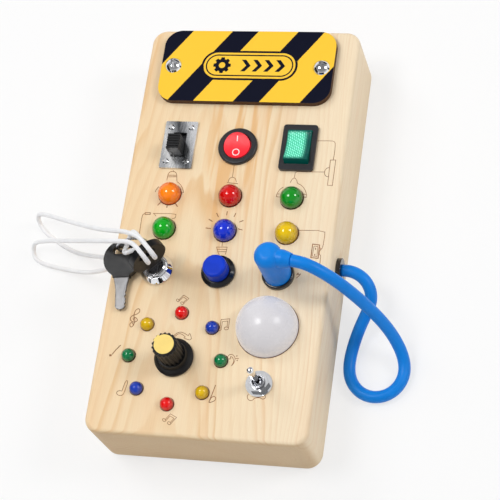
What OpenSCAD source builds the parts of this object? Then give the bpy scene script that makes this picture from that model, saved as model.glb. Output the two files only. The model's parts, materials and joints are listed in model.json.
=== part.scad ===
// Wooden busy board with working switches, lamps, a key lock and a cabled plug.
// Millimetres. The board lies on its back: +Z leaves the play face, +Y runs to the sign plate,
// and the origin is the middle of the back.

/* [Wooden body] */
// Width of the board
body_w = 95; // [92:1:110]
// Length of the board
body_l = 189; // [186:1:205]
// Thickness of the board
body_t = 33; // [32:1:40]
// Radius of the upright corners
corner_r = 6.5; // [5:0.5:9]
// Rounding of the front and back edges
edge_r = 2; // [1:0.25:2.5]
// Side wall beside the routed hollow
side_wall = 8; // [7.5:0.5:9]
// Wood left behind the play face
face_t = 7; // [6:0.5:8]
// Round left by the router in the corners of the hollow
hollow_r = 4; // [3:0.5:6]

/* [Back cover and battery tray] */
// Thickness of the plywood back cover
cover_t = 3; // [2.5:0.5:4]
// How far the cover laps onto the side wall
cover_lap = 5; // [4.5:0.5:5.5]
// Clearance round the cover and the battery door
panel_gap = 0.2; // [0.1:0.05:0.4]
// Shank diameter of the wood screws
screw_d = 2; // [1.8:0.1:2.4]
// Length of a wood screw
screw_l = 9; // [7:0.5:11]
// Diameter of a AAA cell
cell_d = 10.3; // [10:0.1:10.5]
// Length of a AAA cell without its nub
cell_l = 43.5; // [43:0.5:44]
// Wall of the battery tray
tray_wall = 1.5; // [1.2:0.1:2]
// Distance of the battery tray's middle from the upper end of the hollow
tray_end = 18.5; // [18:0.5:21]

/* [Sign plate] */
// Width of the striped sign plate
sign_w = 78; // [70:1:84]
// Height of the sign plate
sign_h = 35; // [30:1:38]
// Thickness of the sign plate
sign_t = 3; // [2:0.5:4]
// Corner radius of the sign plate
sign_r = 7.5; // [5:0.5:9]
// Distance of the sign plate's middle from the upper end of the board
sign_end = 19.5; // [18.5:0.5:21.5]
// Place of the sign plate across the board
sign_x = -1; // [-2:0.5:2]
// Distance between the two sign screws
sign_screw_gap = 67.2; // [60:0.4:68]
// Head diameter of a sign screw
sign_head_d = 7.6; // [6:0.2:8]

/* [Layout] */
// Distance between the columns, on a board of the laid-out width
column_pitch = 27; // [26:0.5:28]
// Height of the switch row above the middle, on a board of the laid-out length
switch_up = 37; // [36:0.5:38]
// Height of the upper lamp row
upper_lamps_up = 13.6; // [13:0.2:15]
// Height of the lower lamp row
lower_lamps_up = -2.6; // [-4:0.2:-2]
// Height of the row with the lock, the button and the plug
plug_up = -21.5; // [-22.5:0.5:-20.5]
// Place of the dial across the board
dial_across = -13; // [-14:0.5:-12]
// Distance of the dial from the lower end of the board
dial_end = 34; // [32.5:0.5:35.5]
// Place of the dome lamp across the board
dome_across = 24.5; // [23:0.5:26]
// Distance of the dome lamp below the plug's row
dome_drop = 23.5; // [22.5:0.5:24.5]
// Distance of the toggle switch from the lower end of the board
toggle_end = 25; // [22.5:0.5:26.5]

/* [Lamps] */
// Diameter of the large lamps
lamp_d = 9.9; // [9:0.1:10.5]
// Straight part of a large lamp above the face
lamp_rise = 0.8; // [0.4:0.1:1.5]
// Diameter of the small lamps
small_lamp_d = 5.8; // [5:0.1:6.5]
// Radius of the circle of small lamps
lamp_ring_r = 20; // [19.5:0.5:20.5]
// Number of small lamps round the dial
lamp_count = 8; // [8:1:8]
// Diameter of the frosted dome
dome_d = 26; // [24:0.5:27]
// Wall of the frosted dome
dome_wall = 1.4; // [1:0.1:2]
// Clearance round each lamp
lamp_gap = 0.1; // [0.05:0.05:0.2]

/* [Slide switch] */
// Width of the chrome frame
slide_w = 14.6; // [14:0.2:16]
// Length of the chrome frame
slide_l = 22.5; // [22:0.5:24]
// Thickness of the chrome frame
slide_t = 1; // [0.6:0.1:1.4]
// Width of the sliding button
slider_w = 5.6; // [5:0.1:6]
// Length of the sliding button
slider_l = 7; // [6:0.2:7.4]
// Height of the sliding button above its frame
slider_h = 8; // [6:0.5:9]
// Travel of the sliding button
slide_travel = 4.3; // [3.5:0.1:4.5]

/* [Rocker switches] */
// Diameter of the round rocker's rim
round_rim_d = 17.3; // [16.5:0.1:18.5]
// Diameter of the round rocker's paddle
round_paddle_d = 11.6; // [11:0.1:11.8]
// Width of the lit rocker's rim
lit_rim_w = 15.1; // [14.7:0.1:16.5]
// Length of the lit rocker's rim
lit_rim_l = 21.5; // [21:0.1:23]
// Width of the lit rocker's paddle
lit_paddle_w = 10.5; // [9.8:0.1:10.6]
// Length of the lit rocker's paddle
lit_paddle_l = 14.9; // [14:0.1:15]
// Height of both rims
rim_h = 1.6; // [1.2:0.1:2]
// Tilt of a paddle to each side
rocker_tilt = 8; // [5:0.5:8]

/* [Key lock] */
// Diameter of the chrome flange
lock_flange_d = 14.6; // [14:0.1:16]
// Height of the lock above the face
lock_h = 4.6; // [4:0.1:5.5]
// Diameter of the threaded lock body
lock_body_d = 11.8; // [11:0.1:12]
// Depth of the lock body behind the face
lock_depth = 15; // [14:0.5:16]
// Diameter of the turning barrel
barrel_d = 7.6; // [7.2:0.1:8]
// Width of the key's blade
blade_w = 5.4; // [4.8:0.1:5.6]
// Thickness of the key's blade
blade_t = 1.6; // [1.2:0.1:1.8]
// Length of blade in the lock
blade_l = 11.5; // [10:0.5:13.5]
// Blade left bare between the lock and the grip
blade_neck = 2.5; // [2:0.5:4]
// Diameter of the key's grip
grip_d = 16; // [15:0.5:17]
// Thickness of the key's grip
grip_t = 3.2; // [2.8:0.1:3.4]
// Turn of the key slot from the board's length
key_rest_turn = 45; // [40:5:50]
// Diameter of the ring wire
ring_wire = 1.1; // [0.9:0.1:1.3]
// Middle diameter of the key ring
ring_d = 12.8; // [12.4:0.2:13.2]

/* [Push button] */
// Diameter of the black collar
button_collar_d = 14.6; // [14:0.1:16]
// Diameter of the blue cap
button_cap_d = 10.2; // [9.6:0.1:10.4]
// Height of the cap above the face
button_rise = 8; // [7:0.5:9]
// Travel of the cap
button_travel = 2.5; // [2:0.5:3]

/* [Plug and socket] */
// Diameter of the socket's collar
socket_collar_d = 13.8; // [13.4:0.1:15]
// Diameter of the plug's moulded stem
stem_d = 11.6; // [11:0.1:11.8]
// Height of the plug above the face
plug_h = 24.5; // [24:0.5:26]
// Diameter of the plug's metal tip
tip_d = 5.5; // [5:0.1:6]
// Length of the plug's metal tip
tip_l = 9.5; // [9:0.5:11]
// Diameter of the blue cable
cable_d = 5.2; // [5:0.1:5.4]
// Diameter of the cable grommet's flange
grommet_d = 10.4; // [10:0.1:12]

/* [Tether] */
// Diameter of the white tether cord
tether_d = 2; // [1.8:0.1:2.1]
// Diameter of the tether bush's flange
bush_d = 8.4; // [8:0.2:10]

/* [Dial and toggle] */
// Diameter of the dial's base
dial_base_d = 16.6; // [16:0.2:18]
// Diameter of the dial's fluted grip
dial_grip_d = 10.8; // [10:0.1:11.4]
// Height of the dial
dial_h = 16.5; // [15:0.5:18]
// Number of flutes round the grip
dial_flutes = 18; // [12:1:20]
// Diameter of the dial's shaft
dial_shaft_d = 6; // [5.8:0.1:6.2]
// Where the pointer rests, turned from the board's length
dial_rest_turn = 56; // [50:1:60]
// Diameter of the toggle's threaded neck
toggle_neck_d = 6; // [5.8:0.1:6.4]
// Height of the toggle's tip above the face
toggle_h = 18; // [16:0.5:20]
// Swing of the toggle's lever to each side
toggle_swing = 12; // [8:1:12]

/* [Hidden] */
$fn = 48;

// Small differences that keep cuts and fits clean
cut = 1;            // how far a cutting shape passes through a surface
running_gap = 0.06; // radial clearance of what turns or slides in a bore
seat_gap = 0.1;     // clearance of a body in its panel hole
thread_gap = 0.02;  // radial clearance of a screw in its hole

// Heights
face_z = body_t;
ceiling_z = body_t - face_t;

// Layout: the columns and rows close up and spread out with the board
layout_w = 95;
layout_l = 189;
side_stretch = body_w / layout_w;
row_stretch = body_l / layout_l;
column = column_pitch * side_stretch;
row_switch = switch_up * row_stretch;
row_lamp_upper = upper_lamps_up * row_stretch;
row_lamp_lower = lower_lamps_up * row_stretch;
row_plug = plug_up * row_stretch;
dial_x = dial_across * side_stretch;
dial_y = dial_end * row_stretch - body_l / 2;
dome_x = dome_across * side_stretch;
dome_y = row_plug - dome_drop * row_stretch;
toggle_x = dome_x;
toggle_y = toggle_end * row_stretch - body_l / 2;
sign_y = body_l / 2 - sign_end;

// Hollow and cover
hollow_w = body_w - 2 * side_wall;
hollow_l = body_l - 2 * side_wall;
rebate_w = hollow_w + 2 * cover_lap;
rebate_l = hollow_l + 2 * cover_lap;
rebate_r = hollow_r + 1;
screw_x = hollow_w / 2 + cover_lap / 2;
screw_y = hollow_l / 2 + cover_lap / 2;
cover_screw_inset = 12;
cover_screw_places = [for (sx = [-1, 1], sy = [-1, 0, 1])
    [sx * screw_x, sy * (screw_y - cover_screw_inset)]];
tray_y = hollow_l / 2 - tray_end;
wood_head_d = 2 * screw_d;
wood_head_h = screw_d / 2;

// Circuit board on posts under the face
board_w = 40;
board_l = 30;
board_t = 1.6;
board_up = 8;
board_z = cover_t + board_up;
post_d = 7;
post_screw_l = 4.5;
post_bore_l = 5;
post_x = column / 2;
post_y = [row_lamp_lower - 3, row_lamp_upper + 2];
board_y = (post_y[0] + post_y[1]) / 2;
board_top_z = board_z + board_t;
strip_y = board_l / 2 - 4.5;
wire_d = 1.1;
wire_z = cover_t + 3;
wire_pitch = 1.8;
wire_drop = 3;
wire_start = 0.15;
dome_wire_in = 6;
dial_wire_in = 5;
chip = [10, 6, 2];
socket_strip = [14, 4.5, 5];
smooth_cap_d = 6;
smooth_cap_h = 5;
smooth_cap_x = -12;

// Battery tray and door
cell_pitch = cell_d + 0.6;
contact_room = 1.6;
spring_room = 2.4;
nub_d = 3.8;
nub_h = 1;
bay_w = cell_l + nub_h + contact_room + spring_room;
bay_l = cell_pitch + cell_d + 0.8;
bay_h = cell_d + 0.8;
door_block = 6;
finger_groove_d = 0.8;
finger_groove_start = 4;
finger_groove_step = 2;
tray_in_w = bay_w + door_block;
tray_w = tray_in_w + 2 * tray_wall;
tray_l = bay_l + 2 * tray_wall;
tray_lip = 3;
tray_lip_t = 1.2;
door_w = tray_in_w + tray_wall;
door_l = bay_l + tray_wall;
bay_x = -door_block / 2;
door_screw_x = tray_in_w / 2 - door_block / 2;
door_screw_l = 7;
door_screw_d = 2.4;
contact_t = 0.4;
contact_w = 8;
cell_z = cover_t + cell_d / 2 + 0.3;

// Sign screws
sign_shank_d = 3.2;
sign_head_h = 2.2;
sign_screw_l = 9;
cross_w = 1;
cross_l = 4.4;

// Lamps
lamp_rim = 0.9;
lamp_rim_t = 1.2;
rim_room = 0.2;
lamp_places = [[-column, row_lamp_upper], [0, row_lamp_upper], [column, row_lamp_upper],
    [-column, row_lamp_lower], [0, row_lamp_lower], [column, row_lamp_lower]];
function small_lamp_place(i) = [
    dial_x + lamp_ring_r * sin(360 * i / lamp_count),
    dial_y + lamp_ring_r * cos(360 * i / lamp_count)
];

// Dome lamp
dome_rise = 0.6;
dome_rim = 1.6;
dome_rim_t = 1.2;
dome_board_t = 1.6;

// Slide switch
slide_inset = 0.4;
slide_x = slide_inset - column;
slide_slot_gap = 0.2;
slide_slot_w = slider_w + 2 * slide_slot_gap;
slide_slot_l = slider_l + slide_travel + 2 * slide_slot_gap;
slide_foot_w = slider_w + 3;
slide_foot_l = slider_l + 1.4;
slide_foot_t = 2;
slide_pocket_h = slide_foot_t + 0.4;
slide_housing_w = slide_w - 3;
slide_housing_l = slide_l - 4;
slide_housing_h = 10;
slide_rest_y = row_switch - slide_travel / 2;
rivet_x = 4.6;
rivet_y = 8.2;
rivet_d = 1.4;
rivet_head_d = 2.6;
rivet_head_h = 0.7;
rivet_l = 4;
groove_pitch = 1.2;
groove_w = 0.5;

// Rockers
rocker_window_gap = 0.45;
rocker_side_gap = 0.2;
rocker_pivot_z = face_z;
rocker_up = 3.4;
rocker_down = 2.8;
rocker_dish_r = 20;
rocker_pin_d = 1.6;
rocker_body_h = 15;
round_body_d = 14.8;
lit_body_w = 13;
lit_body_l = 19;
lit_rim_r = 1.4;
terminal_w = 3;
terminal_t = 0.8;
terminal_l = 4;
terminal_pitch = 5;

// Key lock
lock_x = -column;
lock_top_z = face_z + lock_h;
lock_flange_h = 1.6;
keyway_gap = 0.15;
keyway_depth = blade_l + 0.6;
cam_t = 1.2;
cam_l = 7;
nut_t = 2;
lock_nut_af = 15;
grip_bottom_z = lock_top_z + blade_neck;
grip_z = grip_bottom_z + grip_d / 2;
grip_slot_w = 8;
grip_slot_h = 3.4;
grip_slot_up = 3.8;
blade_in_grip = 5;

// Key ring and spare key
spare_across = 14.6;
spare_x = lock_x - spare_across;
spare_y = row_plug + 2.2;
spare_z = 36.9;
spare_tilt = 6;
spare_turn = 5;
ring_across = 10;
ring_along = 7.4;
ring_x = lock_x - ring_across;
ring_y = row_plug + ring_along;
ring_z = 40.6;
ring_turn = 17;

// Push button
button_x = 0;
button_collar_h = 2;
button_body_d = 12;
button_nut_af = 15;
button_depth = 13;
button_floor_t = 1.5;
button_wall = 1.2;
button_roof = 1.6;
button_skirt = 6;
button_stem_d = 3;
button_clip_d = 5;
button_clip_t = 1;
spring_wire = 0.7;
spring_d = 6;
spring_turns = 5;
spring_gap = 0.25;

// Plug and socket
socket_inset = 1;
socket_x = column - socket_inset;
socket_collar_h = 2.2;
socket_recess = 1.2;
socket_body_d = 10.8;
socket_nut_af = 14;
socket_depth = 13;
stem_bottom_z = face_z + socket_collar_h - socket_recess;
stem_top_z = face_z + plug_h;
stem_round = 4;
neck_z = stem_top_z - 4.4;
neck_turn = -8;
neck_start = stem_d / 2 + 0.6;
neck_l = stem_d / 2 + 4;
neck_d = 7.6;
tip_in_boot = 6;
tip_wall = 1.2;

// Cable grommet and tether bush, in the side faces
grommet_y = -12.5;
grommet_z = 19;
grommet_h = 2;
grommet_neck_d = 7.6;
bush_y = -13.5;
bush_z = 17;
bush_h = 1.2;
bush_neck_d = 6.4;

// Dial
dial_gap = 0.5;
dial_base_h = 1.8;
dial_recess_d = 12.4;
dial_recess_h = 2.6;
dial_skirt_h = 4.6;
dial_bore_l = 8;
dial_neck_d = 7.4;
dial_shaft_floor = 1.2;
dial_neck_rise = 2.4;
dial_nut_t = 2;
dial_nut_af = 10;
dial_body_d = 16;
dial_body_h = 7;
dial_shaft_l = dial_body_h - dial_shaft_floor + face_t + dial_gap + dial_recess_h + dial_bore_l - 0.5;
dial_cap_d = 8.4;
dial_cap_t = 1.2;
dial_cap_rise = 0.3;
dial_pointer_w = 3;
dial_flat = 1.5;
flute_r = 0.7;

// Toggle switch
toggle_body = [13, 8, 9];
toggle_neck_rise = 4;
toggle_washer_d = 11.2;
toggle_washer_t = 0.7;
toggle_nut_af = 8;
toggle_nut_t = 2.2;
toggle_bore_d = 4.6;
toggle_pivot_z = face_z + 1.5;
toggle_ball_d = 4.4;
toggle_tip_d = 3;
toggle_root_d = 2.2;
toggle_tail = 3;
toggle_terminal_pitch = 4;

// A smooth curve guided by the points p, which leaves both of its ends straight
straight_l = 0.4;
function smooth(p) =
    let (n = len(p) - 1, inner = [for (i = [1 : n - 1]) (p[i - 1] + 4 * p[i] + p[i + 1]) / 6])
    concat([p[0], p[0] + straight_l * unit(p[1] - p[0])], inner,
        [p[n] + straight_l * unit(p[n - 1] - p[n]), p[n]]);

// Route of the blue cable between the plug's neck and the grommet
cable_lead = 4;
cable_points = [
    [44.5, -24.6, 51.8], [52, -27, 46.6], [59, -29.6, 37.6], [65.5, -32.4, 26.5], [71.3, -36, 15.8],
    [75.6, -41.2, 7.4], [78, -47.6, 3], [77.4, -54.6, 2.6], [73, -60.6, 2.7], [65.8, -62.8, 2.7],
    [58.9, -60.4, 2.7], [54.4, -54.2, 2.6], [53.8, -47, 2.8], [55, -40, 4], [57.2, -33.6, 6.8],
    [60, -28.3, 10], [62.5, -23.3, 13], [61.7, -18.4, 15.8], [58.4, -14.5, 17.9]];
neck_way = [cos(neck_turn), sin(neck_turn), 0];
neck_end = [socket_x, row_plug, neck_z] + neck_l * neck_way;
grommet_face = [body_w / 2 + grommet_h, grommet_y, grommet_z];
cable_route = concat([neck_end, neck_end + cable_lead * neck_way], cable_points,
    [grommet_face + [cable_lead, 0, 0], grommet_face]);

// Route of the white tether: floor, key grip, ring, key grip, floor
tether_lead = 4;
tether_points = [
    [-60, -8.8, 13.6], [-67.5, -6.6, 8], [-75.5, -3.8, 3.2], [-83, -0.2, 1.1], [-89, 3.6, 1.1],
    [-94, 6.6, 1.1], [-97.2, 10.4, 2.2], [-97.3, 12.8, 6.6], [-93.2, 11.6, 11.4], [-86.6, 8.6, 16],
    [-78, 4.4, 22], [-66.5, -1.4, 31.4], [-53, -8.8, 44.6], [-43, -13, 53.2], [-35, -15, 57.8],
    [-27.8, -18.1, 60.4], [-24.7, -21.3, 61], [-21.6, -24.4, 59.5], [-20.7, -25.3, 55.5],
    [-22.2, -23.8, 51.9], [-25.7, -20.2, 51.5], [-28.7, -17.3, 52.2], [-31.8, -13.4, 50.6],
    [-35.4, -10.3, 48], [-37.8, -10.9, 43.5], [-39, -14.8, 41.7], [-39.2, -19, 44], [-36.2, -20.8, 48],
    [-31.4, -20, 51.7], [-28.1, -22.7, 51.6], [-24.7, -26.3, 52], [-23.2, -27.8, 55.6],
    [-24.1, -26.9, 59.5], [-27.2, -23.8, 61], [-30.4, -20.7, 60.4], [-38, -19.2, 57], [-47, -16.6, 50],
    [-60, -11.6, 37.4], [-74, -6, 23], [-84.5, -2.4, 13.8], [-92.4, -0.9, 8.9], [-96.7, -0.7, 5.7],
    [-97.4, -3.2, 2.5], [-96.5, -6.8, 1.2], [-91.1, -9, 1], [-84, -10.4, 1.3], [-76, -12.6, 4.2],
    [-68, -14.8, 8.6], [-60, -16, 13.4]];
bush_face = [-body_w / 2 - bush_h, bush_y, bush_z];
strand_gap = [0, 1.3, 0];
tether_route = concat([bush_face + strand_gap, bush_face + strand_gap - [tether_lead, 0, 0]],
    tether_points, [bush_face - strand_gap - [tether_lead, 0, 0], bush_face - strand_gap]);

// ---- Shared shapes ----

module rounded_outline(w, l, r) {
    square([w - 2 * r, l], center = true);
    square([w, l - 2 * r], center = true);
    for (sx = [-1, 1], sy = [-1, 1])
        translate([sx * (w / 2 - r), sy * (l / 2 - r)]) circle(r);
}

module rounded_plate(w, l, t, r) {
    linear_extrude(t) rounded_outline(w, l, r);
}

// A ring or a bush from an outer and an inner diameter
module tube(outer_d, inner_d, h) {
    difference() {
        cylinder(d = outer_d, h = h);
        translate([0, 0, -cut]) cylinder(d = inner_d, h = h + 2 * cut);
    }
}

module hex_nut(across_flats, bore_d, h) {
    difference() {
        cylinder(d = across_flats / cos(30), h = h, $fn = 6);
        translate([0, 0, -cut]) cylinder(d = bore_d, h = h + 2 * cut);
    }
}

// A domed lamp whose rim sits under the face
module lamp(d, rise) {
    rotate_extrude() {
        square([d / 2, face_t + rise]);
        translate([0, -lamp_rim_t]) square([d / 2 + lamp_rim, lamp_rim_t]);
        intersection() {
            translate([0, face_t + rise]) circle(d = d);
            translate([0, face_t + rise - cut]) square([d, d]);
        }
    }
}

// A countersunk wood screw, head down, its top at the origin's side
module wood_screw(d, l, head_d, head_h) {
    rotate_extrude() polygon([[0, 0], [head_d / 2, 0], [d / 2, head_h], [d / 2, l - d], [0, l]]);
}

module countersink(d, l, head_d, head_h) {
    grown = thread_gap;
    rotate_extrude() polygon([[0, -cut], [head_d / 2 + grown, -cut], [head_d / 2 + grown, 0],
        [d / 2 + grown, head_h + grown], [d / 2 + grown, l + grown], [0, l + grown]]);
}

// ---- Swept tubes ----

function unit(v) = v / norm(v);
function direction(p, i) =
    unit(p[min(i + 1, len(p) - 1)] - p[max(i - 1, 0)]);
// Carries the first ring's side vector along the route, so that the tube doesn't twist
function side_vectors(p, side, i = 0) =
    i == len(p) ? [] :
    let (along = direction(p, i), here = unit(side - (side * along) * along))
    concat([here], side_vectors(p, here, i + 1));

module swept_tube(p, d, sides, side = [0, 0, 1]) {
    n = len(p);
    across = side_vectors(p, side);
    ring_points = [for (i = [0 : n - 1], k = [0 : sides - 1])
        let (a = 360 * k / sides, v = cross(direction(p, i), across[i]))
        p[i] + d / 2 * (cos(a) * across[i] + sin(a) * v)];
    skin = [for (i = [0 : n - 2], k = [0 : sides - 1])
        let (a = i * sides + k, b = i * sides + (k + 1) % sides)
        [a, a + sides, b + sides, b]];
    first_end = [for (k = [0 : sides - 1]) k];
    last_end = [for (k = [sides - 1 : -1 : 0]) (n - 1) * sides + k];
    polyhedron(ring_points, concat([first_end], skin, [last_end]));
}

function helix(d, pitch, turns, steps) = [for (i = [0 : turns * steps])
    [d / 2 * cos(360 * i / steps), d / 2 * sin(360 * i / steps), pitch * i / steps]];

// ---- Body, cover and battery tray ----

// The outer block: two crossed slabs and four turned corner posts
module soft_block() {
    translate([0, 0, body_t / 2]) {
        rotate([90, 0, 0]) linear_extrude(body_l - 2 * corner_r, center = true)
            rounded_outline(body_w, body_t, edge_r);
        rotate([90, 0, 90]) linear_extrude(body_w - 2 * corner_r, center = true)
            rounded_outline(body_l, body_t, edge_r);
        for (sx = [-1, 1], sy = [-1, 1])
            translate([sx * (body_w / 2 - corner_r), sy * (body_l / 2 - corner_r), 0])
                rotate_extrude() intersection() {
                    rounded_outline(2 * corner_r, body_t, edge_r);
                    translate([0, -body_t]) square([body_w, 2 * body_t]);
                }
    }
}

module panel_holes() {
    through = face_t + 2 * cut;
    translate([0, 0, ceiling_z - cut]) {
        for (place = lamp_places) translate(place) cylinder(d = lamp_d + 2 * lamp_gap, h = through);
        for (i = [0 : lamp_count - 1])
            translate(small_lamp_place(i)) cylinder(d = small_lamp_d + 2 * lamp_gap, h = through);
        translate([dome_x, dome_y]) cylinder(d = dome_d + 2 * lamp_gap, h = through);
        translate([slide_x, row_switch])
            linear_extrude(through)
                square([slide_housing_w + 2 * seat_gap, slide_housing_l + 2 * seat_gap], center = true);
        translate([0, row_switch]) cylinder(d = round_body_d + 2 * seat_gap, h = through);
        translate([column, row_switch])
            linear_extrude(through)
                square([lit_body_w + 2 * seat_gap, lit_body_l + 2 * seat_gap], center = true);
        translate([lock_x, row_plug]) cylinder(d = lock_body_d + 2 * seat_gap, h = through);
        translate([button_x, row_plug]) cylinder(d = button_body_d + 2 * seat_gap, h = through);
        translate([socket_x, row_plug]) cylinder(d = socket_body_d + 2 * seat_gap, h = through);
        translate([dial_x, dial_y]) cylinder(d = dial_neck_d + 2 * seat_gap, h = through);
        translate([toggle_x, toggle_y]) cylinder(d = toggle_neck_d + 2 * seat_gap, h = through);
    }
}

// Room under the face for the rims of the lamps that stand near a side wall
module rim_reliefs() {
    translate([dome_x, dome_y, ceiling_z - dome_rim_t - dome_board_t - rim_room])
        cylinder(d = dome_d + 2 * dome_rim + 2 * rim_room, h = dome_rim_t + dome_board_t);
    for (i = [0 : lamp_count - 1])
        translate([small_lamp_place(i)[0], small_lamp_place(i)[1], ceiling_z - lamp_rim_t - rim_room])
            cylinder(d = small_lamp_d + 2 * lamp_rim + 2 * rim_room, h = lamp_rim_t);
}

module screw_pilots() {
    for (place = cover_screw_places)
        translate([place[0], place[1], 0])
            cylinder(d = screw_d + 2 * thread_gap, h = screw_l + 2 * thread_gap);
    for (side = [-1, 1])
        translate([sign_x + side * sign_screw_gap / 2, sign_y, face_z + sign_t - sign_screw_l])
            cylinder(d = sign_shank_d + 2 * thread_gap, h = sign_screw_l);
}

module wooden_body() {
    color("burlywood")
    difference() {
        soft_block();
        translate([0, 0, -cut]) rounded_plate(rebate_w, rebate_l, cover_t + cut, rebate_r);
        rounded_plate(hollow_w, hollow_l, ceiling_z, hollow_r);
        panel_holes();
        rim_reliefs();
        screw_pilots();
        translate([body_w / 2 - side_wall - cut, grommet_y, grommet_z])
            rotate([0, 90, 0]) cylinder(d = grommet_neck_d + 2 * seat_gap, h = side_wall + 2 * cut);
        translate([-body_w / 2 - cut, bush_y, bush_z])
            rotate([0, 90, 0]) cylinder(d = bush_neck_d + 2 * seat_gap, h = side_wall + 2 * cut);
    }
}

module back_cover() {
    color("tan")
    difference() {
        rounded_plate(rebate_w - 2 * panel_gap, rebate_l - 2 * panel_gap, cover_t, rebate_r - panel_gap);
        translate([0, tray_y, -cut])
            rounded_plate(door_w + 2 * panel_gap, door_l + 2 * panel_gap, cover_t + 2 * cut, 1 + panel_gap);
        for (place = cover_screw_places)
            translate([place[0], place[1], 0]) countersink(screw_d, screw_l, wood_head_d, wood_head_h);
    }
}

module wood_screws() {
    color("silver") {
        for (place = cover_screw_places)
            translate([place[0], place[1], 0]) wood_screw(screw_d, screw_l, wood_head_d, wood_head_h);
        for (x = [-post_x, post_x], y = post_y)
            translate([x, y, board_z - wood_head_h])
                rotate_extrude() {
                    square([wood_head_d / 2, wood_head_h]);
                    square([screw_d / 2, wood_head_h + board_t + post_screw_l]);
                }
        translate([door_screw_x, tray_y, 0])
            wood_screw(door_screw_d, door_screw_l, 2 * door_screw_d, door_screw_d / 2);
    }
}

module battery_door() {
    color("dimgray")
    translate([0, tray_y, 0])
    difference() {
        rounded_plate(door_w, door_l, cover_t, 1);
        translate([door_screw_x, 0, 0])
            countersink(door_screw_d, door_screw_l, 2 * door_screw_d, door_screw_d / 2);
        // Finger grooves across the far end
        for (i = [0 : 3])
            translate([-door_w / 2 + finger_groove_start + finger_groove_step * i, 0, 0])
                rotate([90, 0, 0]) cylinder(d = finger_groove_d, h = door_l / 2, center = true);
    }
}

// Four turned posts under the face carry the control board
module board_posts() {
    color("burlywood")
    for (x = [-post_x, post_x], y = post_y)
        translate([x, y, board_top_z])
        difference() {
            cylinder(d = post_d, h = ceiling_z - board_top_z);
            translate([0, 0, -cut]) cylinder(d = screw_d + 2 * thread_gap, h = post_bore_l + cut);
        }
}

module battery_tray() {
    color("darkslategray")
    translate([0, tray_y, cover_t])
    difference() {
        union() {
            rounded_plate(tray_w + 2 * tray_lip, tray_l + 2 * tray_lip, tray_lip_t, 2);
            rounded_plate(tray_w, tray_l, bay_h + tray_wall, 1);
        }
        translate([bay_x, 0, -cut]) linear_extrude(bay_h + cut) square([bay_w, bay_l], center = true);
        translate([door_screw_x, 0, -cut])
            cylinder(d = door_screw_d + 2 * thread_gap, h = door_screw_l + cut);
    }
}

module battery_cells() {
    color("goldenrod")
    for (side = [-1, 1])
        translate([bay_x, tray_y + side * cell_pitch / 2, cell_z])
            rotate([0, 90 * side, 0])
                translate([0, 0, -cell_l / 2 + (contact_room - spring_room) / 2 * -1 - nub_h / 2])
                    rotate_extrude() {
                        square([cell_d / 2, cell_l]);
                        square([nub_d / 2, cell_l + nub_h]);
                    }
}

module battery_contacts() {
    plate_x = bay_w / 2 - contact_t;
    coil_h = spring_room - contact_t;
    color("silver")
    for (side = [-1, 1]) {
        translate([bay_x, tray_y + side * cell_pitch / 2, cell_z])
            rotate([0, 90 * side, 0]) {
                translate([0, 0, plate_x]) linear_extrude(contact_t)
                    square([contact_w, contact_w], center = true);
                translate([0, 0, -plate_x - contact_t]) linear_extrude(contact_t)
                    square([contact_w, contact_w], center = true);
                translate([0, 0, -plate_x]) tube(contact_w - 2, contact_w - 3.4, coil_h - 0.2);
            }
    }
}

// ---- Circuit board ----

module control_board() {
    color("seagreen")
    translate([0, board_y, board_z])
    difference() {
        linear_extrude(board_t) square([board_w, board_l], center = true);
        for (x = [-post_x, post_x], y = post_y)
            translate([x, y - board_y, -cut])
                cylinder(d = screw_d + 0.4, h = board_t + 2 * cut);
    }
}

module circuit_parts() {
    color("dimgray")
    translate([0, board_y, board_z]) {
        translate([0, 0, -chip[2] / 2]) cube(chip, center = true);
        translate([smooth_cap_x, 0, -smooth_cap_h]) cylinder(d = smooth_cap_d, h = smooth_cap_h);
        for (side = [-1, 1])
            translate([0, side * strip_y, -socket_strip[2] / 2]) cube(socket_strip, center = true);
    }
}

// One insulated wire, leaving and arriving straight and running low between
module wire(from, leave, to, arrive) {
    swept_tube([from, from + 2 * leave, [(2 * from[0] + to[0]) / 3, (2 * from[1] + to[1]) / 3, wire_z],
        [(from[0] + 2 * to[0]) / 3, (from[1] + 2 * to[1]) / 3, wire_z], to - 3 * arrive, to],
        wire_d, 6);
}

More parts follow.
